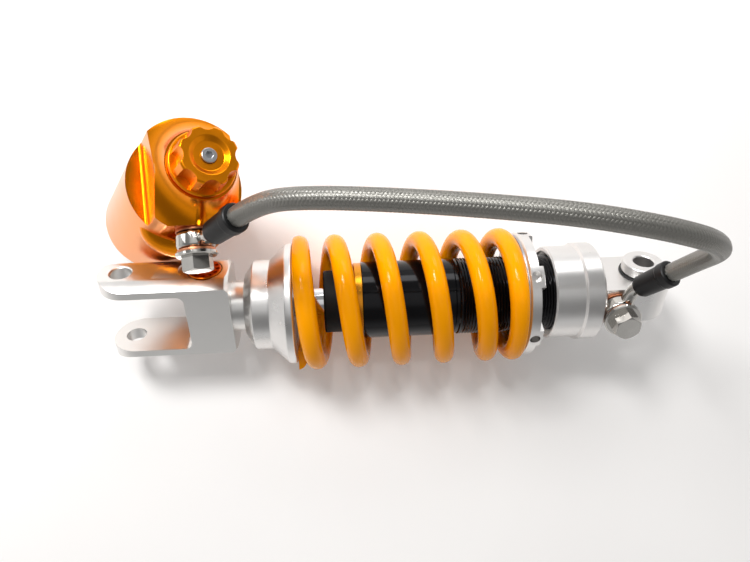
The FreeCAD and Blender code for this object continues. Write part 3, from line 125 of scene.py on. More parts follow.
def metal(name, colour, rough, bump, grain=None, lines=None, worn=0.06, metallic=1.0):
    # faint mottling in colour and gloss, with a grit of so many mm or turning lines along an axis
    made, tree, shader = newMaterial(name)
    place = addNode(tree, "ShaderNodeTexCoord")
    mottle = addNode(
        tree,
        "ShaderNodeTexNoise",
        links={"Vector": (place, "Object"), "Scale": 1 / (surface["mottle"] * mm), "Detail": 3.0},
    )
    base = linear(colour)
    dark = toned(base, 1 - worn * 2)
    light = toned(base, 1 + worn)
    tint = addNode(
        tree,
        "ShaderNodeMix",
        {"data_type": "RGBA"},
        {mixShare: mottle, mixFrom: dark, mixTo: light},
    )
    smooth, dull = [rough * share for share in surface["metalGloss"]]
    gloss = addNode(
        tree, "ShaderNodeMapRange", links={"Value": mottle, "To Min": smooth, "To Max": dull}
    )
    if lines:
        turned = addNode(
            tree,
            "ShaderNodeMapping",
            {"vector_type": "TEXTURE"},
            {"Vector": (place, "Object"), "Location": lines["centre"], "Rotation": lines["turn"]},
        )
        marks = [1 / (lines[way] * mm) for way in ("pitch", "ring", "ring")]
        stretch = addNode(tree, "ShaderNodeMapping", links={"Vector": turned, "Scale": marks})
        height = addNode(
            tree, "ShaderNodeTexNoise", links={"Vector": stretch, "Scale": 1.0, "Detail": 2.0}
        )
    else:
        height = addNode(
            tree,
            "ShaderNodeTexNoise",
            links={"Vector": (place, "Object"), "Scale": 1 / (grain * mm), "Detail": 2.0},
        )
    relief = addNode(
        tree,
        "ShaderNodeBump",
        links={"Strength": bump, "Distance": surface["relief"] * mm, "Height": height},
    )
    feed(
        tree,
        shader,
        {
            "Base Color": (tint, mixColour),
            "Roughness": gloss,
            "Metallic": metallic,
            "Normal": relief,
        },
    )
    return made


def polymer(name, colour, rough, grain, bump, sheen=0.0, level=0.5):
    # rubber, plastic or paint: no metal, and soft clouds over a fine grit of so many mm
    made, tree, shader = newMaterial(name)
    place = addNode(tree, "ShaderNodeTexCoord")
    grit = addNode(
        tree,
        "ShaderNodeTexNoise",
        links={"Vector": (place, "Object"), "Scale": 1 / (grain * mm), "Detail": 3.0},
    )
    cloud = addNode(
        tree,
        "ShaderNodeTexNoise",
        links={"Vector": (place, "Object"), "Scale": 1 / (surface["cloud"] * mm), "Detail": 2.0},
    )
    base = linear(colour)
    dark = toned(base, surface["polymerDark"])
    tint = addNode(
        tree,
        "ShaderNodeMix",
        {"data_type": "RGBA"},
        {mixShare: cloud, mixFrom: dark, mixTo: base},
    )
    smooth, dull = [rough * share for share in surface["polymerGloss"]]
    gloss = addNode(
        tree, "ShaderNodeMapRange", links={"Value": cloud, "To Min": smooth, "To Max": dull}
    )
    relief = addNode(
        tree,
        "ShaderNodeBump",
        links={"Strength": bump, "Distance": surface["relief"] * mm, "Height": grit},
    )
    feed(
        tree,
        shader,
        {
            "Base Color": (tint, mixColour),
            "Roughness": gloss,
            "Sheen Weight": sheen,
            "Specular IOR Level": level,
            "Normal": relief,
        },
    )
    return made


# pitch is the mm between two tool marks, ring the mm over which one mark stays the same
damperLines = {"centre": (0, 0, 0), "turn": (0, 0, 0), "pitch": 0.35, "ring": 250.0}
reservoirLines = {
    "centre": Vector((-226.0, 56.6, 38.98)) * mm,
    "turn": (0.0, math.radians(-63), math.radians(18)),
    "pitch": 0.35,
    "ring": 250.0,
}
finish = {
    # bead-blasted and clear anodised: a soft sheen without tool marks, where reflections blur
    "blasted": metal(
        "bead-blasted aluminium", "#e5e3e0", rough=0.31, grain=0.35, bump=0.05, worn=0.02
    ),
    # turned and clear anodised: faint rings round the axis draw the light out along it
    "turned": metal(
        "turned aluminium", "#e4e2e0", rough=0.29, lines=damperLines, bump=0.16, worn=0.03
    ),
    # orange dye in the oxide over turned aluminium: a coloured mirror with faint rings
    "orange": metal(
        "orange anodised aluminium", "#ee8a0c", rough=0.20, lines=reservoirLines, bump=0.12,
        worn=0.05,
    ),
    # the same dye, left in longer over blasted finger grips: deeper, with broad soft highlights
    "knob": metal(
        "deep orange anodised aluminium", "#f59010", rough=0.30, grain=0.5, bump=0.05, worn=0.05
    ),
    # the orange dye on the small wheel deep in its pocket, darkened to brown as painted shade from
    # the pocket, with soft highlights
    "wheel": metal(
        "orange anodised aluminium in painted shade", "#b8560f", rough=0.28, grain=0.5, bump=0.05, worn=0.05
    ),
    # gold dye over turned aluminium: warm rings, only seen between the coils
    "gold": metal("gold anodised aluminium", "#e0952a", rough=0.25, lines=damperLines, bump=0.2),
    # black dye takes most of the metal's shine and leaves a narrow highlight
    "black": metal(
        "black anodised aluminium", "#0e0e11", rough=0.13, grain=0.6, bump=0.05, metallic=0.6
    ),
    # thick undyed oxide: dull grey-brown and slightly rough
    "hard": metal("hard anodised aluminium", "#5d5c58", rough=0.45, grain=0.4, bump=0.1),
    # ground, then plated: a near mirror
    "chrome": metal("hard chrome", "#e6e6e8", rough=0.07, lines=damperLines, bump=0.03, worn=0.02),
    # bright nickel on forged steel: sharp reflections over slightly uneven metal
    "plated": metal("nickel plated steel", "#c4c1bc", rough=0.11, grain=0.8, bump=0.08, worn=0.1),
    # bright zinc: bluish grey with blurred reflections
    "zinc": metal("zinc plated steel", "#b9babd", rough=0.30, grain=0.5, bump=0.12),
    # fine ground steel with a film of oil: a narrow even shine
    "steel": metal("ground bearing steel", "#a9a9ac", rough=0.20, grain=0.4, bump=0.1),
    # hardened and tempered: dark blue-grey scale
    "blued": metal("blued spring steel", "#3a3d44", rough=0.35, grain=0.4, bump=0.1),
    # soft rings, marked by the flanges that press on them: reddish with an uneven shine
    "copper": metal("annealed copper", "#c98562", rough=0.32, grain=0.6, bump=0.15, worn=0.12),
    # pressed from powder: open pores make it dull
    "bronze": metal("sintered bronze", "#a27b45", rough=0.45, grain=0.4, bump=0.2),
    # moulded: dark and matt with a slight bloom at grazing angles
    "rubber": polymer(
        "moulded nitrile rubber", "#171717", rough=0.55, grain=0.5, bump=0.2, sheen=0.1
    ),
    # closed cells: the roughest of the black pieces
    "foam": polymer("cellular polyurethane", "#0a0a0b", rough=0.6, grain=0.7, bump=0.4, level=0.25),
    # filled plastic cut from strip: dark and dull
    "band": polymer("filled sliding band", "#2a2826", rough=0.5, grain=0.5, bump=0.2),
    # moulded nylon: deep black with a broad dim highlight
    "sleeve": polymer(
        "moulded black nylon", "#0b0b0c", rough=0.42, grain=0.6, bump=0.12, level=0.35
    ),
    # thick gloss powder coat: slight orange peel under a hard shine
    "enamel": polymer(
        "yellow gloss powder coat", "#ffa200", rough=0.12, grain=3.0, bump=0.12, level=0.13
    ),
}
print("finishes made", len(finish))

wornBy = {  # finish: the frame's nodes that have it
    "blasted": ["lower_clevis"],
    "turned": ["spring_perch", "top_cap", "preload_ring", "eye_collars"],
    "orange": ["reservoir_head", "reservoir_tube"],
    "knob": ["compression_knob"],
    "wheel": ["rebound_wheel"],
    "gold": ["seal_head"],
    "black": ["damper_tube", "bump_washer", "reservoir_end_cap"],
    "hard": ["main_piston", "floating_piston", "compression_valve"],
    "chrome": ["damper_rod"],
    "plated": ["cap_banjo", "head_banjo", "cap_banjo_bolt", "head_banjo_bolt"],
    "zinc": ["rebound_rod", "piston_nut", "ring_lock_screw", "spring_seat", "knob_screw"],
    "steel": [
        "rebound_shaft", "compression_needle", "bearing_race", "bearing_ball", "braided_hose",
    ],
    "blued": ["shim_stacks", "eye_circlips", "end_cap_circlip"],
    "copper": ["cap_banjo_washers", "head_banjo_washers"],
    "bronze": ["guide_bush", "gas_valve"],
    "rubber": [
        "rod_wiper", "rod_seal", "seal_head_ring", "eye_dust_seals", "reservoir_head_ring",
        "floating_ring",
    ],
    "foam": ["bump_stop"],
    "band": ["piston_band"],
    "sleeve": ["gas_valve_cap", "cap_hose_sleeve", "head_hose_sleeve"],
    "enamel": ["coil_spring"],
}
for finishName, nodeNames in wornBy.items():
    for nodeName in nodeNames:
        shape = nodes[nodeName].data
        shape.materials.clear()
        shape.materials.append(finish[finishName])
print("frame nodes finished", sum(map(len, wornBy.values())))

bodies = frame["record"]["behaviour"]["bodies"]
bodyOf = {name: body for body, names in bodies.items() for name in names}


def newPiece(name, mesh, finishName=None):
    piece = bpy.data.objects.new(name, mesh)
    bpy.context.collection.objects.link(piece)
    if finishName:
        mesh.materials.clear()
        mesh.materials.append(finish[finishName])
    return piece


def standIn(piece, nodeName):
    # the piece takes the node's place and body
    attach(piece, bodyOf[nodeName])
    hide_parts(nodeName)


def frozen(piece):
    # the piece's modifiers turned into a plain mesh
    graph = bpy.context.evaluated_depsgraph_get()
    mesh = bpy.data.meshes.new_from_object(piece.evaluated_get(graph))
    piece.modifiers.clear()
    piece.data = mesh
    return mesh


def shadeByAngle(mesh, degrees):
    mesh.shade_smooth()
    mesh.set_sharp_from_angle(angle=math.radians(degrees))


# milled and turned pieces get their sharp edges broken
brokenEdges = {
    "merge": 0.002,  # mm within which two corners are one
    "flat": 0.6,  # degrees within which two triangles are one face
    "sharp": 38,  # degrees from which an edge is broken
    "segments": 2,
    "shadeUpTo": 30,  # degrees over which the shading runs on
    "widths": {  # mm
        "lower_clevis": 0.5, "spring_perch": 0.4, "preload_ring": 0.35, "top_cap": 0.5,
        "eye_collars": 0.25, "reservoir_head": 0.5, "reservoir_tube": 0.4,
        "compression_knob": 0.5, "rebound_wheel": 0.2, "cap_banjo_bolt": 0.35,
        "head_banjo_bolt": 0.35, "cap_banjo": 0.3, "head_banjo": 0.3, "knob_screw": 0.15,
        "seal_head": 0.3, "cap_banjo_washers": 0.25, "head_banjo_washers": 0.25,
        "cap_hose_sleeve": 0.3, "head_hose_sleeve": 0.3, "bump_stop": 0.5,
    },
}
for nodeName, width in brokenEdges["widths"].items():
    mesh = nodes[nodeName].data.copy()
    work = bmesh.new()
    work.from_mesh(mesh)
    bmesh.ops.remove_doubles(work, verts=work.verts, dist=brokenEdges["merge"] * mm)
    flat = math.radians(brokenEdges["flat"])
    bmesh.ops.dissolve_limit(work, angle_limit=flat, verts=work.verts, edges=work.edges)
    work.to_mesh(mesh)
    work.free()
    piece = newPiece(nodeName + "_finished", mesh)
    bevel = piece.modifiers.new("broken edge", "BEVEL")
    bevel.limit_method = "ANGLE"
    bevel.angle_limit = math.radians(brokenEdges["sharp"])
    bevel.width = width * mm
    bevel.segments = brokenEdges["segments"]
    shadeByAngle(frozen(piece), brokenEdges["shadeUpTo"])
    even = piece.modifiers.new("even shading", "WEIGHTED_NORMAL")
    even.keep_sharp = True
    frozen(piece)
    standIn(piece, nodeName)
print("edges broken on", len(brokenEdges["widths"]), "pieces")

# the spring: one wire, closed and ground at both ends
spring = {
    "turns": 6.19,
    "radius": 29.75,  # mm from the axis to the middle of the wire
    "wire": 5.0,  # the wire's own radius
    "closePitch": 5.0,
    "closeTurns": 1.35,
    "perchFace": -180.8,
    "seatFace": -67.7,
    "perchProud": -0.7,  # how far the coil's centre line starts from each ground face
    "seatProud": 1.0,
    "startAngle": -180.0,
    "stroke": 34.0,
    "stepsPerTurn": 64,
    "sidesOfWire": 40,
    "cutWithin": 0.0001,  # mm to which the grinding plane is met
    "rim": 0.3,  # mm broken off round a ground face
    "rimSegments": 2,
    "sharp": 40,  # degrees from which an edge is such a rim
    "shadeUpTo": 35,  # degrees over which the shading runs on
}
springInputs = {
    "Turns": spring["turns"],
    "Radius": spring["radius"] * mm,
    "Wire": spring["wire"] * mm,
    "Close pitch": spring["closePitch"] * mm,
    "Close turns": spring["closeTurns"],
    "Span": (
        spring["seatFace"] - spring["perchFace"] - spring["perchProud"] - spring["seatProud"]
    ) * mm,
    "Start angle": math.radians(spring["startAngle"]),
    "Left end": (spring["perchFace"] + spring["perchProud"]) * mm,
    "Material": finish["enamel"],
}


def springTree():
    tree = bpy.data.node_groups.new("coil spring", "GeometryNodeTree")
    for label in springInputs:
        kind = "NodeSocketMaterial" if label == "Material" else "NodeSocketFloat"
        tree.interface.new_socket(name=label, in_out="INPUT", socket_type=kind)
    tree.interface.new_socket(
        name="Geometry", in_out="OUTPUT", socket_type="NodeSocketGeometry"
    )
    given = addNode(tree, "NodeGroupInput")
    result = addNode(tree, "NodeGroupOutput")

    turns = (given, "Turns")
    blend = (given, "Close turns")
    close = (given, "Close pitch")
    span = (given, "Span")
    line = addNode(tree, "GeometryNodeCurvePrimitiveLine")
    along = addNode(tree, "GeometryNodeSplineParameter")
    # turns are counted from the nearer end, so that both ends close alike, and the pitch
    # grows from the closed one to the open one along a smoothstep, whose sum is ease
    steps = [  # name, operation, inputs: a name is the step above, a number is itself
        ("count", "MULTIPLY", turns, spring["stepsPerTurn"]),
        ("turned", "MULTIPLY", (along, "Factor"), turns),
        ("left", "SUBTRACT", turns, "turned"),
        ("folded", "MINIMUM", "turned", "left"),
        ("inBlend", "MINIMUM", "folded", blend),
        ("share", "DIVIDE", "inBlend", blend),
        ("cubed", "POWER", "share", 3.0),
        ("fourth", "POWER", "share", 4.0),
        ("halfFourth", "MULTIPLY", "fourth", 0.5),
        ("ease", "SUBTRACT", "cubed", "halfFourth"),
        ("closed", "MULTIPLY", close, blend),
        ("openSpan", "SUBTRACT", span, "closed"),
        ("openTurns", "SUBTRACT", turns, blend),
        ("openPitch", "DIVIDE", "openSpan", "openTurns"),
        ("climb", "MULTIPLY", close, "inBlend"),
        ("growth", "SUBTRACT", "openPitch", close),
        ("growthSpan", "MULTIPLY", "growth", blend),
        ("gain", "MULTIPLY", "growthSpan", "ease"),
        ("past", "SUBTRACT", "folded", blend),
        ("pastOnly", "MAXIMUM", "past", 0.0),
        ("steady", "MULTIPLY", "openPitch", "pastOnly"),
        ("lower", "ADD", "climb", "gain"),
        ("rise", "ADD", "lower", "steady"),
        ("halfTurns", "MULTIPLY", turns, 0.5),
        ("secondHalf", "GREATER_THAN", "turned", "halfTurns"),
        ("twice", "MULTIPLY", "rise", 2.0),
        ("mirror", "SUBTRACT", span, "twice"),
        ("flip", "MULTIPLY", "secondHalf", "mirror"),
        ("fromEnd", "ADD", "rise", "flip"),
        ("x", "ADD", "fromEnd", (given, "Left end")),
        ("turnedAngle", "MULTIPLY", "turned", 2 * math.pi),
        ("angle", "ADD", "turnedAngle", (given, "Start angle")),
        ("cosine", "COSINE", "angle", 0.0),
        ("sine", "SINE", "angle", 0.0),
        ("y", "MULTIPLY", "cosine", (given, "Radius")),
        ("z", "MULTIPLY", "sine", (given, "Radius")),
    ]
    made = {}
    for name, operation, *values in steps:
        read = [made[value] if isinstance(value, str) else value for value in values]
        made[name] = addNode(
            tree, "ShaderNodeMath", {"operation": operation}, dict(enumerate(read))
        )
    path = addNode(
        tree, "GeometryNodeResampleCurve", links={"Curve": line, "Count": made["count"]}
    )
    spot = addNode(
        tree, "ShaderNodeCombineXYZ", links={0: made["x"], 1: made["y"], 2: made["z"]}
    )
    wound = addNode(tree, "GeometryNodeSetPosition", links={"Geometry": path, "Position": spot})
    ring = addNode(
        tree,
        "GeometryNodeCurvePrimitiveCircle",
        links={"Resolution": spring["sidesOfWire"], "Radius": (given, "Wire")},
    )
    coil = addNode(
        tree,
        "GeometryNodeCurveToMesh",
        links={"Curve": wound, "Profile Curve": ring, "Fill Caps": True},
    )
    real = addNode(tree, "GeometryNodeRealizeInstances", links={"Geometry": coil})
    painted = addNode(
        tree, "GeometryNodeSetMaterial", links={"Geometry": real, "Material": (given, "Material")}
    )
    feed(tree, result, {0: painted})
    return tree


springPiece = newPiece("coil_spring_wound", bpy.data.meshes.new("coil_spring_wound"))
winding = springPiece.modifiers.new("winding", "NODES")
winding.node_group = springTree()
for item in winding.node_group.interface.items_tree:
    if item.in_out == "INPUT":
        winding[item.identifier] = springInputs[item.name]
mesh = frozen(springPiece)
work = bmesh.new()
work.from_mesh(mesh)
for face, side in ((spring["perchFace"], -1), (spring["seatFace"], 1)):
    sliced = bmesh.ops.bisect_plane(
        work,
        geom=work.verts[:] + work.edges[:] + work.faces[:],
        dist=spring["cutWithin"] * mm,
        plane_co=(face * mm, 0, 0),
        plane_no=(side, 0, 0),
        clear_outer=True,
    )
    cut = [item for item in sliced["geom_cut"] if isinstance(item, bmesh.types.BMEdge)]
    bmesh.ops.contextual_create(work, geom=cut)
bmesh.ops.recalc_face_normals(work, faces=work.faces)
work.to_mesh(mesh)
work.free()
rim = springPiece.modifiers.new("ground edge", "BEVEL")
rim.limit_method = "ANGLE"
rim.angle_limit = math.radians(spring["sharp"])
rim.width = spring["rim"] * mm
rim.segments = spring["rimSegments"]
mesh = frozen(springPiece)
shadeByAngle(mesh, spring["shadeUpTo"])
standIn(springPiece, "coil_spring")
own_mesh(springPiece)
print("spring wound", len(mesh.polygons), "faces")

# the body tube with the thread that the preload ring turns on
tube = {
    "left": -147.0,  # mm, as all lengths here
    "right": -38.0,
    "radius": 19.8,
    "bore": 17.0,
    "leftChamfer": 0.3,
    "rightTaper": 0.4,
    "undercutWidth": 2.6,  # the groove in front of the thread, with sides at 45 degrees
    "undercutDepth": 0.6,
    "threadFrom": -98.1,
    "pitch": 1.5,
    "depth": 0.55,
    "grooveShare": 0.8,  # of the pitch, so that a flat crest is left
    "fadeRows": 6,  # rows over which the thread reaches its depth
    "around": 120,
    "rowsPerPitch": 5,
    "shadeUpTo": 35,  # degrees over which the shading runs on
}


def tubeMesh():
    # outside first, then round the right end and back down the bore
    left, right, radius, bore = (tube[key] for key in ("left", "right", "radius", "bore"))
    start, chamfer = tube["threadFrom"], tube["leftChamfer"]
    wide, deep = tube["undercutWidth"], tube["undercutDepth"]
    stations = [
        (left, bore),
        (left, radius - chamfer),
        (left + chamfer, radius),
        (start - wide, radius),
        (start - wide + deep, radius - deep),
        (start - deep, radius - deep),
    ]
    step = tube["pitch"] / tube["rowsPerPitch"]
    rows = int((right - start) / step)
    threadStart = len(stations)
    stations += [(start + i * step, radius) for i in range(rows + 1)]
    threadEnd = len(stations)
    stations += [(right, radius - tube["rightTaper"]), (right, bore)]
    n = tube["around"]
    angles = np.linspace(0, 2 * np.pi, n, endpoint=False)
    points = []
    for i, (x, level) in enumerate(stations):
        r = np.full(n, level)
        if threadStart <= i < threadEnd:
            phase = (x / tube["pitch"] - angles / (2 * np.pi)) % 1.0
            groove = np.clip(1 - np.abs(phase - 0.5) * 2 / tube["grooveShare"], 0, 1)
            fade = min(1.0, (i - threadStart) / tube["fadeRows"])
            r = level - tube["depth"] * groove * fade
        y, z = r * np.cos(angles), r * np.sin(angles)
        points += [(x * mm, a * mm, b * mm) for a, b in zip(y, z)]
    faces = []
    for row in range(len(stations)):
        nextRow = (row + 1) % len(stations)
        for i in range(n):
            j = (i + 1) % n
            faces.append((row * n + i, row * n + j, nextRow * n + j, nextRow * n + i))
    mesh = bpy.data.meshes.new("damper_tube_threaded")
    mesh.from_pydata(points, [], faces)
    work = bmesh.new()
    work.from_mesh(mesh)
    bmesh.ops.recalc_face_normals(work, faces=work.faces)
    work.to_mesh(mesh)
    work.free()
    return mesh


tubePiece = newPiece("damper_tube_threaded", tubeMesh(), "black")
shadeByAngle(tubePiece.data, tube["shadeUpTo"])
standIn(tubePiece, "damper_tube")
print("tube threaded", len(tubePiece.data.polygons), "faces")

# the braided hose: flat strands of steel wire over a dark inner hose
hose = {
    "radius": 4.5,  # mm, as all lengths here
    "core": 4.05,
    "coreSteps": 300,
    "coreSides": 24,
    "carriers": 12,  # in each direction
    "lead": 18.0,  # along the hose for one turn of a strand
    "ribbon": 1.3,  # width of one flat strand
    "weave": 0.13,  # how far a strand rises and dips
    "under": 0.02,  # how far the braid stays below the hose's radius
    "snap": 1.6,  # how quickly a strand goes from over to under, 1 is a plain sine
    "across": (-1.0, -0.45, 0.45, 1.0),  # the strand's lines, in half widths from its middle
    "crown": (-0.1, 0.0, 0.0, -0.1),  # how far each line lies below the middle
    "strandSteps": 1000,
    "wires": 5,  # side by side in each strand
    "resolution": 48,
    # the ends lie in the sleeves, the rest was moved to follow the photograph
    "points": [
        (-198.50, 37.47, 75.38), (-188.71, 41.45, 86.44), (-171.5, 41.3, 100.0),
        (-137.7, 38.3, 106.5), (-102.2, 33.9, 113.0), (-73.1, 29.3, 119.2),
        (-48.8, 24.3, 120.2), (-31.8, 20.7, 115.6), (-20.6, 18.8, 107.0), (-10.8, 17.2, 94.6),
        (-0.4, 15.6, 77.5), (1.96, 12.10, 55.59), (-3.54, 7.46, 43.93),
    ],
}


def routeCurve(points, resolution):
    data = bpy.data.curves.new("hose_route", "CURVE")
    data.dimensions = "3D"
    spline = data.splines.new("NURBS")
    spline.points.add(len(points) - 1)
    for target, point in zip(spline.points, points):
        target.co = (point[0] * mm, point[1] * mm, point[2] * mm, 1)
    spline.order_u = 3
    spline.use_endpoint_u = True
    spline.resolution_u = resolution
    return bpy.data.objects.new("hose_route", data)


def framesAlong(line):
    # tangent and two normals at each point, turned as little as possible from one to the next
    tangent = np.gradient(line, axis=0)
    tangent /= np.linalg.norm(tangent, axis=1)[:, None]
    first = np.cross(tangent[0], (0.0, 0.0, 1.0))
    first /= np.linalg.norm(first)
    normals = [first]
    for t in tangent[1:]:
        n = normals[-1] - t * np.dot(normals[-1], t)
        normals.append(n / np.linalg.norm(n))
    normals = np.array(normals)
    return tangent, normals, np.cross(tangent, normals)


route = routeCurve(hose["points"], hose["resolution"])
bpy.context.collection.objects.link(route)
graph = bpy.context.evaluated_depsgraph_get()
routeMesh = bpy.data.meshes.new_from_object(route.evaluated_get(graph))
raw = np.array([v.co[:] for v in routeMesh.vertices])
bpy.data.objects.remove(route)
passed = np.r_[0, np.cumsum(np.linalg.norm(np.diff(raw, axis=0), axis=1))]
hoseLength = float(passed[-1])


def lineAt(count):
    # points at even steps along the hose, and how far along each lies
    at = np.linspace(0, hoseLength, count)
    return at, np.stack([np.interp(at, passed, raw[:, i]) for i in range(3)], axis=1)


def hoseMesh():
    points, faces = [], []
    sides = hose["coreSides"]
    line = lineAt(hose["coreSteps"])[1]
    normal, side = framesAlong(line)[1:]
    for i in range(len(line)):
        for j in range(sides):
            a = 2 * math.pi * j / sides
            out = math.cos(a) * normal[i] + math.sin(a) * side[i]
            points.append(line[i] + hose["core"] * mm * out)
    last = (len(line) - 1) * sides
    for start in range(0, last, sides):
        end = start + sides
        for j in range(sides):
            k = (j + 1) % sides
            faces.append((start + j, start + k, end + k, end + j))
    faces.append(tuple(range(sides))[::-1])
    faces.append(tuple(range(last, last + sides)))
    coreFaces = len(faces)
    uvs = [[(0, 0)] * len(face) for face in faces]
    # flat strands, over two and under two, as quads with a slight crown
    stepsPer = hose["strandSteps"]
    at, line = lineAt(stepsPer)
    tangent, normal, side = framesAlong(line)
    crossing = hose["lead"] / (2 * hose["carriers"])  # mm along the hose between two crossings
    tilt = math.atan2(2 * math.pi * hose["radius"], hose["lead"])
    half = hose["ribbon"] / 2
    outer = hose["radius"] - hose["under"]
    strips = len(hose["across"]) - 1
    for direction in (1, -1):
        order = (0, 1, 2, 3) if direction > 0 else (0, 3, 2, 1)
        for carrier in range(hose["carriers"]):
            base = len(points)
            turn = direction * 2 * np.pi * at / mm / hose["lead"]
            turn = turn + 2 * np.pi * carrier / hose["carriers"]
            # each crossing is shared by one strand of each direction, and one of the two lies over
            phase = 2 * carrier + direction * at / mm / crossing
            lift = np.clip(hose["snap"] * np.sin(np.pi / 2 * (phase + 0.5)), -1, 1) * direction
            radius = outer - hose["weave"] + hose["weave"] * lift
            for offset, low in zip(hose["across"], hose["crown"]):
                # across the strand: round the hose and back along it
                angle = turn + direction * offset * half * math.cos(tilt) / hose["radius"]
                shift = -offset * half * math.sin(tilt) * mm
                r = (radius + low)[:, None] * mm
                ring = np.cos(angle)[:, None] * normal + np.sin(angle)[:, None] * side
                points += list(line + tangent * shift + ring * r)
            for strip in range(strips):
                u0, u1 = strip / strips, (strip + 1) / strips
                for i in range(stepsPer - 1):
                    a = base + strip * stepsPer + i
                    b = a + stepsPer
                    v0, v1 = at[i] / mm, at[i + 1] / mm
                    quad = (a, b, b + 1, a + 1)
                    corners = ((u0, v0), (u1, v0), (u1, v1), (u0, v1))
                    faces.append([quad[n] for n in order])
                    uvs.append([corners[n] for n in order])
    mesh = bpy.data.meshes.new("braided_hose_woven")
    mesh.from_pydata([tuple(p) for p in points], [], faces)
    layer = mesh.uv_layers.new(name="strand")
    flat = [value for loop in uvs for pair in loop for value in pair]
    layer.data.foreach_set("uv", flat)
    mesh.update()
    return mesh, coreFaces


def braidFinish():
    # stainless wires side by side under a clear jacket: bright ridges, with painted shade darkening
    # the colour between them
    made, tree, shader = newMaterial("stainless braid in clear jacket")
    strand = addNode(tree, "ShaderNodeUVMap", {"uv_map": "strand"})
    parts = addNode(tree, "ShaderNodeSeparateXYZ", links={0: strand})
    wires = addNode(
        tree,
        "ShaderNodeMath",
        {"operation": "MULTIPLY"},
        {0: (parts, "X"), 1: hose["wires"] * math.pi * 2},
    )
    ridge = addNode(tree, "ShaderNodeMath", {"operation": "COSINE"}, {0: wires})
    level = addNode(
        tree, "ShaderNodeMapRange", links={"Value": ridge, "From Min": -1.0, "From Max": 1.0}
    )
    # the colour runs from painted shade between the wires to a lighter grey on their tops; the same
    # wave drives the bump
    tint = addNode(
        tree,
        "ShaderNodeMix",
        {"data_type": "RGBA"},
        {mixShare: level, mixFrom: linear("#4b4a45"), mixTo: linear("#a09e98")},
    )
    relief = addNode(
        tree,
        "ShaderNodeBump",
        links={"Strength": 0.5, "Distance": surface["relief"] * mm, "Height": level},
    )
    feed(
        tree,
        shader,
        {
            "Base Color": (tint, mixColour),
            "Metallic": 0.8,
            "Roughness": 0.40,
            "Coat Weight": 0.2,
            "Coat Roughness": 0.2,
            "Normal": relief,
        },
    )
    return made


mesh, coreFaces = hoseMesh()
mesh.materials.append(braidFinish())
# extruded rubber: a dull grey that only shows between the strands
mesh.materials.append(polymer("grey inner hose", "#4a4948", rough=0.6, grain=0.5, bump=0.1))
materialOf = np.zeros(len(mesh.polygons), dtype=np.int32)
materialOf[:coreFaces] = 1
mesh.polygons.foreach_set("material_index", materialOf)
mesh.shade_smooth()
hosePiece = newPiece("braided_hose_woven", mesh)
standIn(hosePiece, "braided_hose")
print("hose woven", round(hoseLength / mm, 1), "mm", len(mesh.polygons), "faces")

# floor and light
studio = {
    "floorLevel": -34.75,  # mm
    "floorReach": 3000,  # mm from the middle to each side
    "floor": "#fbf9f7",
    "floorDark": "#f4f1ef",
    "floorCloud": 165.0,  # mm between two clouds in the board
    "floorRough": 0.7,
    "floorLift": 0.06,  # glow of the board where it is seen
    # the room's light by direction: -1 to 1 from side to side, and 0 level to 1 straight up
    "sides": (-0.8, 0.8),
    "sideLight": (0.21, 0.33),  # dimmer on the near side, brighter behind the object
    "walls": (0.1, 0.6),
    "wallLight": (3.1, 1.0),  # how much brighter the walls are low down
    "overhead": (0.86, 0.98),
    "overheadLight": (1.0, 2.6),  # and how bright it is straight above, round the camera
    "aim": (-130, 0, 0),  # mm, where every lamp points
    "lamps": [  # name, place in mm, size in mm, watts
        ("windowPanel", (60, 780, 420), (500, 300), 1.8),
        ("leftPanel", (-760, 200, 330), (150, 300), 0.35),
        ("ceilingPanel", (-430, 430, 650), (220, 220), 5.2),
        ("smallLamp", (-190, 330, 760), (45, 45), 0.5),
    ],
}
reach = studio["floorReach"] * mm
corners = ((-reach, -reach), (reach, -reach), (reach, reach), (-reach, reach))
floorMesh = bpy.data.meshes.new("floor")
floorMesh.from_pydata([(x, y, studio["floorLevel"] * mm) for x, y in corners], [], [(0, 1, 2, 3)])
floor = newPiece("floor", floorMesh)
# pressed card, left uncoated: faint clouds in its tint and only a dull sheen
paper, tree, shader = newMaterial("pale matt board")
place = addNode(tree, "ShaderNodeTexCoord")
cloud = addNode(
    tree,
    "ShaderNodeTexNoise",
    links={"Vector": (place, "Object"), "Scale": 1 / (studio["floorCloud"] * mm), "Detail": 4.0},
)
tint = addNode(
    tree,
    "ShaderNodeMix",
    {"data_type": "RGBA"},
    {mixShare: cloud, mixFrom: linear(studio["floorDark"]), mixTo: linear(studio["floor"])},
)
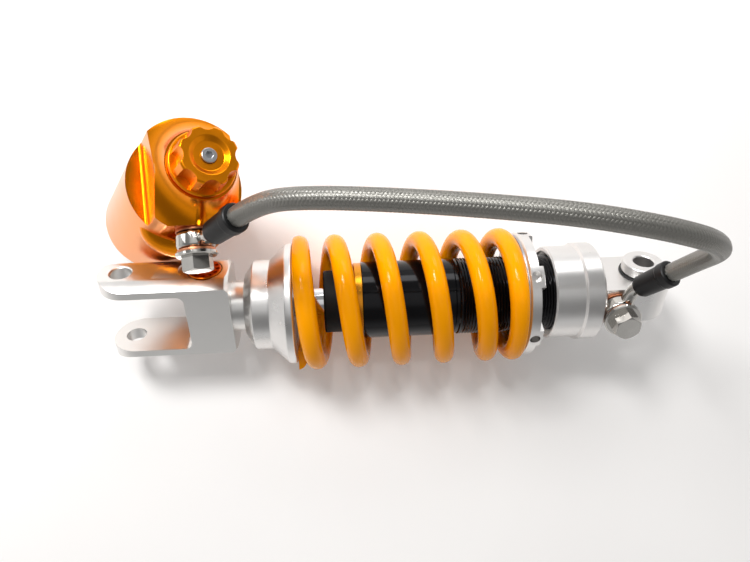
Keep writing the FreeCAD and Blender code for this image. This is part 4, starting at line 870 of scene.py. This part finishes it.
# seen straight or in a reflection the board is lifted to white, and the shadow on it stays
rays = addNode(tree, "ShaderNodeLightPath")
seen = (rays, "Is Camera Ray")
for ray in ("Is Glossy Ray", "Is Transmission Ray"):
    seen = addNode(tree, "ShaderNodeMath", {"operation": "MAXIMUM"}, {0: seen, 1: (rays, ray)})
lift = addNode(
    tree, "ShaderNodeMath", {"operation": "MULTIPLY"}, {0: seen, 1: studio["floorLift"]}
)
feed(
    tree,
    shader,
    {
        "Base Color": (tint, mixColour),
        "Roughness": studio["floorRough"],
        "Emission Strength": lift,
        "Emission Color": linear(studio["floor"]),
    },
)
floorMesh.materials.append(paper)

world = bpy.data.worlds.new("studio")
bpy.context.scene.world = world
world.use_nodes = True
tree = world.node_tree
tree.nodes.clear()
place = addNode(tree, "ShaderNodeTexCoord")
parts = addNode(tree, "ShaderNodeSeparateXYZ", links={0: (place, "Generated")})
room = None
for axis, where, light, blend in (
    ("Y", "sides", "sideLight", "LINEAR"),
    ("Z", "walls", "wallLight", "SMOOTHSTEP"),
    ("Z", "overhead", "overheadLight", "SMOOTHSTEP"),
):
    level = addNode(
        tree,
        "ShaderNodeMapRange",
        {"interpolation_type": blend},
        {
            "Value": (parts, axis),
            "From Min": studio[where][0],
            "From Max": studio[where][1],
            "To Min": studio[light][0],
            "To Max": studio[light][1],
        },
    )
    if room:
        level = addNode(tree, "ShaderNodeMath", {"operation": "MULTIPLY"}, {0: room, 1: level})
    room = level
back = addNode(tree, "ShaderNodeBackground", links={0: linear("#ffffff"), 1: room})
addNode(tree, "ShaderNodeOutputWorld", links={0: back})

for name, spot, (wide, deep), watts in studio["lamps"]:
    data = bpy.data.lights.new(name, "AREA")
    data.shape = "RECTANGLE"
    data.size = wide * mm
    data.size_y = deep * mm
    data.energy = watts
    lamp = bpy.data.objects.new(name, data)
    lamp.location = [v * mm for v in spot]
    aim = Vector([v * mm for v in studio["aim"]]) - lamp.location
    lamp.rotation_euler = aim.to_track_quat("-Z", "Y").to_euler()
    bpy.context.collection.objects.link(lamp)
print("floor and light set")

bpy.context.view_layer.update()
